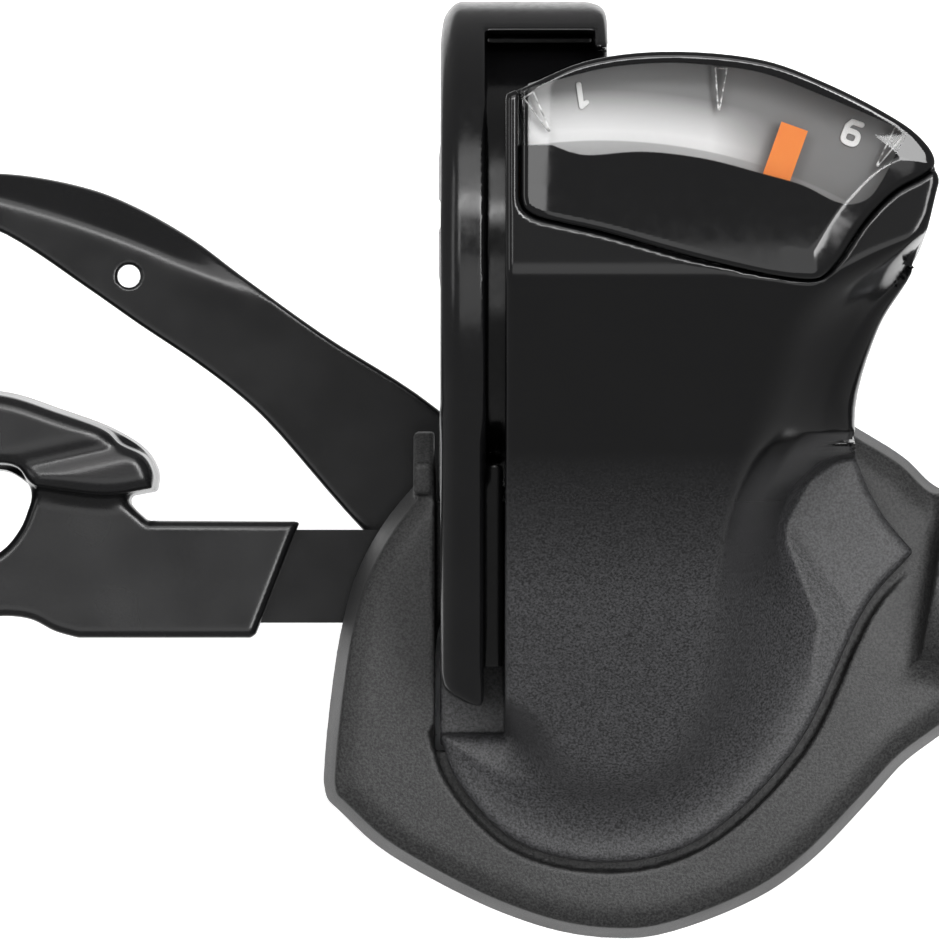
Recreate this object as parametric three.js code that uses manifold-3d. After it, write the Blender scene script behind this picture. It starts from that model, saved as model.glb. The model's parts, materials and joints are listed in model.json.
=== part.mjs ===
// Two-lever under-bar trigger shifter with a gear display, for the right side of a flat handlebar.
// Millimetres. X runs along the handlebar towards the stem, Y towards the rider, Z up.
// The origin is on the handlebar axis, in the middle of the clamp band.
import * as THREE from "three";
import { mergeVertices } from "three/addons/utils/BufferGeometryUtils.js";
import Module from "manifold-3d";

// ---- driving dimensions ----
const BAR_DIAMETER = 22.2;
const BAND_WIDTH = 10;
const BAND_THICKNESS = 3.75; // at the rims
const CHANNEL_DEPTH = 2.5; // the cover sits in this channel of the band
const BODY_WIDTH = 36.4; // from the left of the round end to the right edge of the cover
const AXLE_CLEARANCE = 13.6; // from the handlebar's front forward to the main axle
const AXLE_RIGHT = 5.63; // from the cover's left edge right to the main axle
const RIDGE_RISE = 4.35; // the cover's ridge over its tongue, at the ridge's end
const FIT = 0.3; // clearance between fixed neighbours
const RUN = 0.4; // clearance round moving pieces
const COVER_WALL = 1.4;
const HOUSING_WALL = 1.6;
const GROOVE = 0.6; // shadow line between cover and housing
const LENS_WALL = 0.9;
const LENS_HEIGHT = 3.9;
const DIAL_THICKNESS = 0.6;
const NEEDLE_WIDTH = 1.65;
const NEEDLE_THICKNESS = 0.7;
const NEEDLE_LENGTH = 5.2; // the part that stands over the dial
const ARM_WIDTH = 1.1; // the arm that carries the needle
const NEEDLE_BEYOND = 9.1; // from the handlebar axis back to the needle's tip
const NEEDLE_ANGLE = THREE.MathUtils.degToRad(-19.7); // at rest, from +Y
const PLATE_THICKNESS = 1.5; // base plate and both lever plates
const HOUSING_DEPTH = 7.2; // outside, from top face to rim
const DRUM_RADIUS = 9.4;
const DRUM_HEIGHT = 3.4;
const RATCHET_RADIUS = 8.6;
const RATCHET_TEETH = 24;
const PAWL_REACH = 11.6; // from the main axle to a pawl's pin
const AXLE_RADIUS = 2.5;
const PIN_RADIUS = 0.9;
const CLAMP_BOLT_RADIUS = 2.5;
const LUG_ANGLE = THREE.MathUtils.degToRad(-80); // clamp split, hidden under the bar
const BARREL_RADIUS = 4.6;
const BARREL_LENGTH = 9;
const CABLE_ANGLE = THREE.MathUtils.degToRad(-10);
const THUMB_REACH = 43; // from the main axle to the end of the thumb pad
const THUMB_TRAVEL = THREE.MathUtils.degToRad(40);
const PAD_HEIGHT = 14;

// ---- levels and places that follow from them ----
const BAR_RADIUS = BAR_DIAMETER / 2;
const AXLE_REACH = BAR_RADIUS + AXLE_CLEARANCE;
const NEEDLE_RADIUS = AXLE_REACH + NEEDLE_BEYOND; // from the main axle
const BAND_RADIUS = BAR_RADIUS + BAND_THICKNESS;
const CHANNEL_RADIUS = BAND_RADIUS - CHANNEL_DEPTH;
const HALF_BAND = BAND_WIDTH / 2;
const ARM_RIGHT = -HALF_BAND + 2.6;
const COVER_LEFT = ARM_RIGHT + 1.27;
const NEEDLE_RISE = 1.0; // how far a turned needle comes nearer the front face
const NEEDLE_LINE = CHANNEL_RADIUS + FIT + NEEDLE_THICKNESS / 2; // its distance from the bar axis
const FACE_DISTANCE = NEEDLE_LINE + NEEDLE_THICKNESS / 2 + NEEDLE_RISE + FIT + COVER_WALL;
const LENS_SEAT = FACE_DISTANCE - 0.8;
const LENS_TOP = LENS_SEAT + FIT + LENS_HEIGHT;
const DISPLAY_LEVEL = LENS_TOP - 0.8;
const AXLE = new THREE.Vector2(COVER_LEFT + AXLE_RIGHT, -AXLE_REACH);
const HOUSING_TOP = -7.8;
const TONGUE_TOP = HOUSING_TOP + 0.2;
const TONGUE_BOTTOM = TONGUE_TOP - COVER_WALL;
const RIM = HOUSING_TOP - HOUSING_DEPTH;
// The front face touches a cylinder about the bar and comes down to the ridge's end.
const RIDGE_END = new THREE.Vector2(TONGUE_TOP + RIDGE_RISE, AXLE_REACH + 7); // height, forward
const FACE_SLOPE = RIDGE_END.angle() - Math.acos(FACE_DISTANCE / RIDGE_END.length());
const PLATE_TOP = RIM - FIT;
const PLATE_BOTTOM = PLATE_TOP - PLATE_THICKNESS;
const RATCHET_BOTTOM = RIM + 0.1;
const RATCHET_TOP = RATCHET_BOTTOM + 1.4;
const DRUM_BOTTOM = RATCHET_TOP + FIT;
const DRUM_TOP = DRUM_BOTTOM + DRUM_HEIGHT;
const HUB_BOTTOM = DRUM_TOP + FIT;
const HUB_TOP = HUB_BOTTOM + NEEDLE_THICKNESS;
const THUMB_TOP = PLATE_BOTTOM - RUN;
const THUMB_BOTTOM = THUMB_TOP - PLATE_THICKNESS;
const SLEEVE_WALL = 1.3;
const SLEEVE_BOTTOM = THUMB_BOTTOM - FIT - SLEEVE_WALL;
const RELEASE_TOP = SLEEVE_BOTTOM - FIT;
const RELEASE_BOTTOM = RELEASE_TOP - PLATE_THICKNESS;
const FLOOR_TOP = RELEASE_BOTTOM - 1.1;
const FLOOR_BOTTOM = FLOOR_TOP - 1.8;
const SPACER_RADIUS = AXLE_RADIUS + FIT + 1.4;
const NEEDLE_END = NEEDLE_RADIUS - NEEDLE_LENGTH; // the arm's riser stands just inside the needle

// ---- joining and cutting ----
const wasm = await Module();
wasm.setup();

function solid(geometry) {
  const bare = geometry.index ? geometry.toNonIndexed() : geometry.clone();
  bare.deleteAttribute("normal");
  bare.deleteAttribute("uv");
  const merged = mergeVertices(bare, 1e-4);
  const mesh = new wasm.Mesh({
    numProp: 3,
    vertProperties: new Float32Array(merged.attributes.position.array),
    triVerts: new Uint32Array(merged.index.array),
  });
  return new wasm.Manifold(mesh);
}

const join = (first, ...others) => others.reduce((sum, other) => sum.add(other), first);
const cut = (first, ...tools) => tools.reduce((rest, tool) => rest.subtract(tool), first);
const common = (first, ...others) => others.reduce((rest, other) => rest.intersect(other), first);

const part = new THREE.Group();

function piece(name, shape, colour, roughness, metalness) {
  const mesh = shape.getMesh();
  const geometry = new THREE.BufferGeometry();
  geometry.setAttribute("position", new THREE.BufferAttribute(mesh.vertProperties, 3));
  geometry.setIndex(new THREE.BufferAttribute(mesh.triVerts, 1));
  geometry.computeVertexNormals();
  const material = new THREE.MeshStandardMaterial({ color: colour, roughness, metalness });
  const node = new THREE.Mesh(geometry, material);
  node.name = name;
  part.add(node);
}

// ---- outlines and simple solids ----
const DRAWN_WIDTH = 36.4; // the outlines below are drawn for this body width
const DRAWN_REACH = 24.7; // and for this reach of the main axle
const BACK_EDGE = -10; // behind this line the outlines keep their distance from the bar

// A drawn point: what lies forward of the bar grows with the axle's reach.
function at(x, y) {
  const right = x > COVER_LEFT;
  const wide = right ? COVER_LEFT + ((x - COVER_LEFT) * BODY_WIDTH) / DRAWN_WIDTH : x;
  const left = x < -HALF_BAND;
  const stretched = left ? -HALF_BAND + ((x + HALF_BAND) * BODY_WIDTH) / DRAWN_WIDTH : wide;
  const deep = y < BACK_EDGE
    ? BACK_EDGE + ((y - BACK_EDGE) * (AXLE_REACH + BACK_EDGE)) / (DRAWN_REACH + BACK_EDGE)
    : y;
  return new THREE.Vector2(stretched, deep);
}

// Drawn points are pairs of numbers; a point that is already in its place is a Vector2.
const placed = (point) => (point.isVector2 ? point : at(...point));

// Runs of points, each run one smooth curve from the end of the run before it.
function outline(fineness, start, ...runs) {
  const shape = new THREE.Shape();
  shape.moveTo(...at(...start));
  for (const run of runs) {
    const ends = run.map(placed);
    if (ends.length === 1) shape.lineTo(...ends[0]);
    else shape.splineThru(ends);
  }
  const loop = shape.getPoints(fineness);
  if (loop[0].distanceTo(loop[loop.length - 1]) < 1e-6) loop.pop();
  return THREE.ShapeUtils.isClockWise(loop) ? loop.reverse() : loop;
}

// Positive where c lies left of the line from a to b.
const leftness = (a, b, c) => (b.x - a.x) * (c.y - a.y) - (b.y - a.y) * (c.x - a.x);

// Where a corner of the loop has folded over itself, the points of the fold are left out.
function unfolded(loop) {
  const count = loop.length;
  for (let i = 0; i < count; i++) {
    for (let span = 2; span < 8; span++) {
      const [a, b] = [loop[i], loop[(i + 1) % count]];
      const [c, d] = [loop[(i + span) % count], loop[(i + span + 1) % count]];
      const parted = leftness(a, b, c) * leftness(a, b, d) < 0;
      if (!parted || leftness(c, d, a) * leftness(c, d, b) >= 0) continue;
      const folded = new Set();
      for (let k = 1; k <= span; k++) folded.add((i + k) % count);
      return unfolded(loop.filter((_, index) => !folded.has(index)));
    }
  }
  return loop;
}

// The loop moved inwards by a distance, or outwards where the distance is negative, in short steps.
function inset(loop, distance) {
  const steps = Math.ceil(Math.abs(distance) / 0.25);
  let moved = loop;
  for (let step = 1; step <= steps; step++) {
    const last = moved;
    const gone = (Math.abs(distance) * step) / steps;
    const pushed = last.map((point, i) => {
      const before = last[(i + last.length - 1) % last.length];
      const after = last[(i + 1) % last.length];
      const first = point.clone().sub(before).normalize();
      const second = after.clone().sub(point).normalize();
      const way = first.clone().add(second).normalize();
      const reach = distance / steps / Math.max(way.dot(first), 0.5);
      return new THREE.Vector2(point.x - way.y * reach, point.y + way.x * reach);
    });
    const clear = pushed.filter((point) => distanceTo(loop, point.x, point.y) > gone * 0.9);
    moved = unfolded(clear);
  }
  return moved;
}

function plate(loop, bottom, top) {
  const shape = new THREE.Shape(loop);
  const geometry = new THREE.ExtrudeGeometry(shape, { depth: top - bottom, bevelEnabled: false });
  return solid(geometry.translate(0, 0, bottom));
}

// A profile drawn in Y and Z, drawn out along X.
function rail(profile, left, right) {
  const shape = new THREE.Shape(profile.map(([y, z]) => new THREE.Vector2(y, z)));
  const geometry = new THREE.ExtrudeGeometry(shape, { depth: right - left, bevelEnabled: false });
  const turn = new THREE.Matrix4().makeBasis(
    new THREE.Vector3(0, 1, 0),
    new THREE.Vector3(0, 0, 1),
    new THREE.Vector3(1, 0, 0),
  );
  return solid(geometry.applyMatrix4(turn).translate(left, 0, 0));
}

function box(x0, x1, y0, y1, z0, z1) {
  const geometry = new THREE.BoxGeometry(x1 - x0, y1 - y0, z1 - z0);
  return solid(geometry.translate((x0 + x1) / 2, (y0 + y1) / 2, (z0 + z1) / 2));
}

function rod(centre, radius, bottom, top, sides = 32) {
  const geometry = new THREE.CylinderGeometry(radius, radius, top - bottom, sides);
  return solid(geometry.rotateX(Math.PI / 2).translate(centre.x, centre.y, (top + bottom) / 2));
}

const ring = (centre, inner, outer, bottom, top, sides = 32) =>
  cut(rod(centre, outer, bottom, top, sides), rod(centre, inner, bottom - 1, top + 1, sides));

function barRod(radius, left, right, sides = 64) {
  const geometry = new THREE.CylinderGeometry(radius, radius, right - left, sides);
  return solid(geometry.rotateZ(Math.PI / 2).translate((left + right) / 2, 0, 0));
}

// A turned piece about Z: pairs of radius and height, closed on itself or ended on the axis.
function turned(centre, profile, sides = 32) {
  const line = profile.map(([radius, height]) => new THREE.Vector2(radius, height));
  const geometry = new THREE.LatheGeometry(line, sides);
  return solid(geometry.rotateX(Math.PI / 2).translate(centre.x, centre.y, 0));
}

// A block whose top and bottom follow height formulas.
function moulded([x0, x1, y0, y1], columns, rows, bottom, top) {
  const geometry = new THREE.BoxGeometry(1, 1, 1, columns, rows, 1);
  const place = geometry.attributes.position;
  for (let i = 0; i < place.count; i++) {
    const x = x0 + (x1 - x0) * (place.getX(i) + 0.5);
    const y = y0 + (y1 - y0) * (place.getY(i) + 0.5);
    place.setXYZ(i, x, y, place.getZ(i) > 0 ? top(x, y) : bottom(x, y));
  }
  return solid(geometry);
}

const polar = (radius, degrees) => {
  const angle = THREE.MathUtils.degToRad(degrees);
  return new THREE.Vector2(
    AXLE.x + radius * Math.cos(angle),
    AXLE.y + radius * Math.sin(angle),
  );
};

// Part of a flat ring about the main axle, between two directions in degrees.
function sector(inner, outer, from, to, bottom, top, steps = 16) {
  const loop = [];
  for (let i = 0; i <= steps; i++) loop.push(polar(outer, from + ((to - from) * i) / steps));
  for (let i = steps; i >= 0; i--) loop.push(polar(inner, from + ((to - from) * i) / steps));
  return plate(loop, bottom, top);
}

function distanceTo(loop, x, y) {
  let nearest = Infinity;
  for (let i = 0; i < loop.length; i++) {
    const a = loop[i];
    const b = loop[(i + 1) % loop.length];
    const run = b.clone().sub(a);
    const along = ((x - a.x) * run.x + (y - a.y) * run.y) / run.lengthSq();
    const share = THREE.MathUtils.clamp(along, 0, 1);
    nearest = Math.min(nearest, Math.hypot(x - a.x - share * run.x, y - a.y - share * run.y));
  }
  return nearest;
}

function isInside(loop, x, y) {
  let inside = false;
  for (let i = 0, j = loop.length - 1; i < loop.length; j = i++) {
    const a = loop[i];
    const b = loop[j];
    const crosses = a.y > y !== b.y > y;
    if (crosses && x < ((b.x - a.x) * (y - a.y)) / (b.y - a.y) + a.x) inside = !inside;
  }
  return inside;
}

const softMin = (a, b, width) => {
  const mix = Math.max(width - Math.abs(a - b), 0) / width;
  return Math.min(a, b) - (mix * mix * width) / 4;
};
const softMax = (a, b, width) => -softMin(-a, -b, width);

// ---- the outlines ----
// The cable leaves the drum on a straight line through the nose.
const GROOVE_RADIUS = DRUM_RADIUS - 1.3;
const noseX = at(30.4, 0).x;
const noseY =
  AXLE.y + GROOVE_RADIUS / Math.cos(CABLE_ANGLE) + Math.tan(CABLE_ANGLE) * (noseX - AXLE.x);
const NOSE = new THREE.Vector3(noseX, noseY, (DRUM_TOP + DRUM_BOTTOM) / 2);
const NOSE_HALF = 4.5;
const nosePoint = (hand) =>
  new THREE.Vector2(
    NOSE.x - hand * NOSE_HALF * Math.sin(CABLE_ANGLE),
    NOSE.y + hand * NOSE_HALF * Math.cos(CABLE_ANGLE),
  );
const HOUSING_LOOP = outline(
  2,
  [-5.4, -13.2],
  [[-8, -16.3], [-9.7, -19.4], [-10.65, -22.8], [-11.25, -26.7], [-11.7, -31.8]],
  [[-11, -33.2]],
  [[-8.5, -35.5], [-4.8, -37.7], [2.2, -40.5], [8, -40.75], [13.8, -38.6], [20.6, -32.7], [24.7, -28.9]],
  [nosePoint(-1)],
  [nosePoint(1)],
  [[24.7, -14.4], [22.7, -12.6], [19.5, -10.6]],
  [[16, -10.2]],
);
const COVER_LOOP = outline(
  2,
  [COVER_LEFT, 9],
  [[COVER_LEFT, -28.9]],
  [[-5, -28.9]],
  [[-4.1, -31.5], [-0.5, -35.3], [5.1, -36.6], [10.4, -35.3], [16.25, -29.8], [20.6, -21.1], [23.4, -18]],
  [[21.2, -15.2], [19.6, -10.4], [20.9, -4.8], [23, -1.2], [24.4, 3.9]],
  [[23.9, 5.8]],
  [[21.2, 7.9], [14, 11], [8.1, 11.5], [COVER_LEFT, 9]],
);
const RIDGE_LOOP = outline(
  2,
  [COVER_LEFT - 4, 14],
  [[COVER_LEFT - 4, -27]],
  [[0.3, -28.4], [2.2, -30.8], [5.1, -31.7], [8.4, -30.7], [10.5, -26.8], [11.5, -20.8], [13.7, -12]],
  [[14.8, -8.2], [16.4, -4.4], [19.5, -1.8], [23, -0.4], [26.5, 0.6]],
  [[26.5, 14]],
);
const LENS_LOOP = outline(
  2,
  [COVER_LEFT + 0.2, 9],
  [[-0.4, 3.6]],
  [[0.4, 2.3], [4.5, 1.1], [15.8, -1.8], [17.3, -1.8], [18.2, -1.1], [20, 1.5], [21.8, 3.3], [24, 4.7]],
  [[23.9, 5.8]],
  [[21.2, 7.9], [14, 11], [8.1, 11.5], [COVER_LEFT + 0.2, 9]],
);

// ---- the cover's surface ----
const faceHeight = (y, distance) => (distance + Math.sin(FACE_SLOPE) * y) / Math.cos(FACE_SLOPE);
const BAR_SIDE = 0.95; // past this share of its radius a mound over the bar runs straight down
function barTop(y, radius) {
  const reach = Math.min(Math.abs(y), BAR_SIDE * radius);
  const height = Math.sqrt(radius * radius - reach * reach);
  return height - ((Math.abs(y) - reach) * reach) / height;
}

function coverHeight(x, y) {
  const ridge = softMin(faceHeight(y, FACE_DISTANCE), DISPLAY_LEVEL, 3);
  const foot = softMax(TONGUE_TOP, barTop(y, CHANNEL_RADIUS) + COVER_WALL, 2);
  if (isInside(RIDGE_LOOP, x, y)) return Math.max(ridge, foot);
  const away = distanceTo(RIDGE_LOOP, x, y);
  const left = isInside(COVER_LOOP, x, y) ? distanceTo(COVER_LOOP, x, y) : 0;
  const share = away / (away + left + 1e-6);
  return Math.max(foot + (ridge - foot) * (1 - share) ** 2.4, foot);
}

const COVER_BOX = [-6, 27, AXLE.y - 13, 13];
const BELOW = FLOOR_BOTTOM - 20; // a level under the whole part
const coverBlock = (drop) =>
  moulded(COVER_BOX, 26, 38, () => BELOW, (x, y) => coverHeight(x, y) - drop);
const CHANNEL_FLOOR = -4; // below this level the band has its full thickness
const barGap = join(
  barRod(BAR_RADIUS + RUN, -60, 60),
  barRod(CHANNEL_RADIUS + FIT, -HALF_BAND - FIT, HALF_BAND + FIT),
  common(
    barRod(BAND_RADIUS + FIT, -HALF_BAND - FIT, HALF_BAND + FIT),
    box(-40, 40, -40, 0, BELOW, CHANNEL_FLOOR + FIT),
  ),
);

const coverOuter = common(
  plate(COVER_LOOP, TONGUE_BOTTOM, LENS_TOP),
  coverBlock(0),
);
const coverHollow = common(
  plate(inset(COVER_LOOP, COVER_WALL), BELOW, LENS_TOP),
  coverBlock(COVER_WALL),
);
const lensPocket = plate(inset(LENS_LOOP, -FIT), LENS_SEAT, LENS_TOP + 5);
const deck = common(
  plate(inset(COVER_LOOP, 0.2), LENS_SEAT - 1.8, LENS_SEAT),
  sector(NEEDLE_END + 1.2, NEEDLE_RADIUS + 6, 50, 105, LENS_SEAT - 3, LENS_SEAT + 1),
);
const SCREW_PLACES = [at(9, -35.7), at(18.9, -24.2), at(-7.2, -20.5)];
const SCREW_TOP = TONGUE_BOTTOM - 0.8;
const screwHoles = SCREW_PLACES.map((place) =>
  rod(place, PIN_RADIUS + FIT, PLATE_TOP - 5, SCREW_TOP + FIT, 16),
);
const rearTrim = box(-10, 40, 0, 20, BELOW, 3);
const LEG_FRONT = AXLE.y + DRUM_RADIUS + FIT + 0.3;
const LEG_RIGHT = 2;
const legSpace = box(-HALF_BAND - FIT, LEG_RIGHT + FIT, LEG_FRONT - FIT, -8, BELOW, 0);
// A thin shelf closes the slot under the clamp's arm.
const SHELF_TOP = TONGUE_BOTTOM + 0.1;
const [shelfFront, shelfRight] = [at(0, -29.6).y, COVER_LEFT + 1];
const shelf = box(-HALF_BAND, shelfRight, shelfFront, LEG_FRONT, DRUM_TOP + FIT, SHELF_TOP);
const topCover = cut(
  join(cut(coverOuter, coverHollow), deck, shelf),
  lensPocket,
  barGap,
  rearTrim,
  legSpace,
);
piece("top_cover", topCover, 0x303032, 0.35, 0);

// ---- display ----
const lensDome = (x, y) => LENS_TOP - 0.004 * ((x - 12) ** 2 + (y - 5) ** 2);
const lensBlock = (drop) =>
  moulded([-4, 28, -5, 14], 12, 8, () => 0, (x, y) => lensDome(x, y) - drop);
const lensShell = common(plate(LENS_LOOP, LENS_SEAT + FIT, LENS_TOP + 2), lensBlock(0));
const lensHollow = common(plate(inset(LENS_LOOP, LENS_WALL), 0, LENS_TOP), lensBlock(LENS_WALL));
piece("display_lens", cut(lensShell, lensHollow), 0x3a3a3c, 0.08, 0);

const dialArea = common(
  sector(NEEDLE_END + 1.4, NEEDLE_RADIUS + 5, 50, 105, 0, LENS_TOP),
  plate(inset(LENS_LOOP, LENS_WALL + FIT), LENS_SEAT + FIT, LENS_SEAT + FIT + DIAL_THICKNESS),
);
piece("dial_plate", dialArea, 0xc9c9c9, 0.5, 0);

// The needle arm stands in one upright plane through the main axle.
const NEEDLE_TOP = LENS_SEAT + FIT + DIAL_THICKNESS + 1.5;
const lineHeight = (radius) => faceHeight(radius - AXLE_REACH, NEEDLE_LINE);
const KNEE = 5.3; // radius where the arm turns up
const BEND = AXLE_REACH - 2.5; // radius where the arm levels off over the bar
const armTop = [
  [AXLE_RADIUS + RUN + 0.5, HUB_TOP],
  [KNEE - 0.5, HUB_TOP],
  [KNEE - 0.5, lineHeight(KNEE)],
  [BEND, lineHeight(BEND) + 0.4],
  [NEEDLE_END - 0.7, lineHeight(BEND) + 0.4],
  [NEEDLE_END - 0.7, NEEDLE_TOP],
  [NEEDLE_END, NEEDLE_TOP],
  [NEEDLE_END, lineHeight(BEND) - 0.4],
  [BEND, lineHeight(BEND) - 0.4],
  [KNEE + 0.3, lineHeight(KNEE) - 0.7],
  [KNEE + 0.3, HUB_BOTTOM],
  [AXLE_RADIUS + RUN + 0.5, HUB_BOTTOM],
];
// Carries a shape that was drawn over the origin to the main axle and turns it to the needle.
function atNeedle(shape) {
  const [turn, x, y] = [THREE.MathUtils.radToDeg(NEEDLE_ANGLE), AXLE.x, AXLE.y];
  return shape.rotate([0, 0, turn]).translate([x, y, 0]);
}
const needleStrip = atNeedle(rail(armTop.toReversed(), -ARM_WIDTH / 2, ARM_WIDTH / 2));
const needleHub = ring(AXLE, AXLE_RADIUS + RUN, AXLE_RADIUS + RUN + 1, HUB_BOTTOM, HUB_TOP, 28);
piece("needle_arm", join(needleStrip, needleHub), 0x202022, 0.5, 0);

const flag = box(
  -NEEDLE_WIDTH / 2,
  NEEDLE_WIDTH / 2,
  NEEDLE_END + FIT,
  NEEDLE_RADIUS,
  NEEDLE_TOP - NEEDLE_THICKNESS,
  NEEDLE_TOP,
);
piece("needle_flag", atNeedle(flag), 0xf5871f, 0.45, 0);

// ---- base housing ----
const housingSpan = [-16, 36, AXLE.y - 20, -4];
const houseTop = (x, y) => {
  const spread = (x - AXLE.x) ** 2 + (y - AXLE.y) ** 2;
  return HOUSING_TOP - 0.0028 * Math.min(spread, 480);
};
const DRIVE_PAWL = -164; // degrees round the main axle, at rest
const HOLD_PAWL = -38;
const PAWL_SPAN = 34; // from a pawl's pin to its nose
const HOUSING_DECK = COVER_WALL + HOUSING_WALL; // the cover's recess and the ledge under it
const CHAMFER = 0.9;
const DRAFT = 0.8;
const housingBlock = (drop) =>
  moulded(housingSpan, 20, 16, () => BELOW, (x, y) => houseTop(x, y) - drop);
const ARM_END = AXLE_REACH + 2.6; // the clamp arm's end, forward of the bar axis
const armFront = shelfFront - FIT;
const armSpace = box(-HALF_BAND - FIT, shelfRight + FIT, armFront, 5, TONGUE_BOTTOM - 1.2, 10);

// A turned piece about the cable's line, starting at the nose: pairs of radius and distance.
function alongCable(profile, sides = 28) {
  const line = profile.map(([radius, run]) => new THREE.Vector2(radius, run));
  const geometry = new THREE.LatheGeometry(line, sides);
  geometry.rotateZ(-Math.PI / 2).rotateZ(CABLE_ANGLE);
  return solid(geometry.translate(NOSE.x, NOSE.y, NOSE.z));
}

// The housing in three steps: drafted side wall, chamfer, and top.
const housingSteps = [
  plate(HOUSING_LOOP, RIM, HOUSING_TOP - 3.4),
  plate(inset(HOUSING_LOOP, DRAFT / 2), RIM, HOUSING_TOP - 1.4),
  plate(inset(HOUSING_LOOP, DRAFT / 2 + CHAMFER), RIM, HOUSING_TOP),
];
const housingOuter = common(join(...housingSteps), housingBlock(0));
const coverRecess = cut(
  plate(inset(COVER_LOOP, -GROOVE), TONGUE_BOTTOM - FIT, LENS_TOP),
  box(-20, COVER_LEFT - GROOVE - 0.2, -28, 20, BELOW, 20),
);
const housingHollow = common(
  plate(inset(HOUSING_LOOP, HOUSING_WALL + DRAFT / 2 + CHAMFER), BELOW, HOUSING_TOP),
  housingBlock(HOUSING_DECK),
);
const mechanismWell = plate(inset(COVER_LOOP, 1.6), BELOW, LENS_TOP);
const housingBosses = SCREW_PLACES.map((place) => rod(place, 1.8, RIM, TONGUE_BOTTOM - FIT, 20));
const NOSE_BLOCK = 5.6;
const noseBlock = alongCable([[0, -9], [NOSE_BLOCK, -9], [NOSE_BLOCK - 0.4, 0.3], [0, 0.3]]);
const cablePath = alongCable([[0, -24], [2.6, -24], [2.6, 6], [0, 6]], 20);
const bushingSeat = alongCable([[0, -5 - FIT], [3.6 + FIT, -5 - FIT], [3.6 + FIT, 6], [0, 6]]);
const drumWell = rod(AXLE, DRUM_RADIUS + RUN, BELOW, TONGUE_BOTTOM - FIT + 0.1, 40);
const pawlSweep = sector(
  PAWL_REACH - 3,
  PAWL_REACH + 2,
  DRIVE_PAWL - 10,
  DRIVE_PAWL + PAWL_SPAN + THREE.MathUtils.radToDeg(THUMB_TRAVEL) + 5,
  BELOW,
  TONGUE_BOTTOM - FIT - 1,
);
const baseHousing = cut(
  join(cut(join(housingOuter, noseBlock), coverRecess, housingHollow, mechanismWell), ...housingBosses),
  legSpace,
  armSpace,
  barRod(BAND_RADIUS + RUN, -60, 60),
  drumWell,
  pawlSweep,
  cablePath,
  bushingSeat,
  ...screwHoles,
);
piece("base_housing", baseHousing, 0x4a4a4c, 0.6, 0);

// ---- clamp bracket ----
const bandRing = cut(
  barRod(BAND_RADIUS, -HALF_BAND, HALF_BAND),
  barRod(BAR_RADIUS, -HALF_BAND - 1, HALF_BAND + 1),
);
const CHANNEL_BACK = 12.9; // the block behind this line keeps its full height
const channelRing = (radius, left, right) =>
  cut(barRod(radius + 6, left, right), barRod(radius, left - 1, right + 1));
const channel = common(
  channelRing(CHANNEL_RADIUS, ARM_RIGHT + 0.1, HALF_BAND - 0.85),
  box(-20, 20, -30, CHANNEL_BACK, CHANNEL_FLOOR, 40),
);
const rimRelief = common(
  channelRing(CHANNEL_RADIUS, HALF_BAND - 0.9, HALF_BAND + 1),
  box(-20, 20, -30, CHANNEL_BACK - 1, CHANNEL_FLOOR, 40),
);

// Shapes drawn in the clamp split's own frame: Y runs out along the lugs, Z across the split.
const atLugs = (shape) => shape.rotate([THREE.MathUtils.radToDeg(LUG_ANGLE), 0, 0]);
const SPLIT = 1.6;
const LUG_THICKNESS = 3.8;
const LUG_END = BAR_RADIUS + 10.4;
const BOLT_PLACE = BAR_RADIUS + 6.4;
const lugFace = SPLIT / 2 + LUG_THICKNESS;
const lugs = atLugs(box(-HALF_BAND, HALF_BAND, BAR_RADIUS + 1, LUG_END, -lugFace, lugFace));
const split = atLugs(box(-20, 20, BAR_RADIUS - 3, LUG_END + 1, -SPLIT / 2, SPLIT / 2));
const boltLine = new THREE.Vector2(0, BOLT_PLACE);
const boltHole = atLugs(rod(boltLine, CLAMP_BOLT_RADIUS + FIT, -30, 30, 24));
const SEAT_RADIUS = 4.9; // flat seats for the bolt's head and the nut
const headSeat = atLugs(rod(boltLine, SEAT_RADIUS, lugFace, 30, 28));
const nutSeat = atLugs(rod(boltLine, SEAT_RADIUS, -30, -lugFace, 28));

const armTopAt = (y) => faceHeight(y, BAND_RADIUS);
const armProfile = [
  [-Math.sin(FACE_SLOPE) * BAND_RADIUS, Math.cos(FACE_SLOPE) * BAND_RADIUS],
  [-ARM_END + 0.8, armTopAt(-ARM_END + 0.8)],
  [-ARM_END + 0.1, armTopAt(-ARM_END) - 0.2],
  [-ARM_END, armTopAt(-ARM_END) - 1.2],
  [-ARM_END + 0.2, SHELF_TOP + FIT],
  [-BAND_RADIUS, SHELF_TOP + FIT],
  [-BAR_RADIUS - 1, -2],
  [-BAR_RADIUS + 1.6, BAR_RADIUS - 1.8],
];
const armOutline = [
  [-HALF_BAND, 12],
  [-HALF_BAND, -ARM_END + 1.9],
  [-HALF_BAND + 0.5, -ARM_END + 1.0],
  [ARM_RIGHT - 0.4, -ARM_END],
  [ARM_RIGHT, -ARM_END - 0.1],
  [ARM_RIGHT, 12],
].map(([x, y]) => new THREE.Vector2(x, y));
const arm = common(
  rail(armProfile.toReversed(), -HALF_BAND, ARM_RIGHT),
  plate(armOutline, -30, 30),
);
const leg = box(-HALF_BAND, LEG_RIGHT, LEG_FRONT, -BAR_RADIUS - 0.6, RIM, -1);
const BRACKET_SCREW = new THREE.Vector2(-1.5, (LEG_FRONT - BAR_RADIUS - 0.6) / 2);
const bracketHole = rod(BRACKET_SCREW, PIN_RADIUS + FIT, RIM - 1, RIM + 6, 16);
const bracket = cut(
  join(cut(bandRing, channel, rimRelief), arm, leg, lugs),
  split,
  boltHole,
  headSeat,
  nutSeat,
  barRod(BAR_RADIUS, -60, 60),
  bracketHole,
);
piece("clamp_bracket", bracket, 0x202022, 0.25, 0.1);

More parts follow.
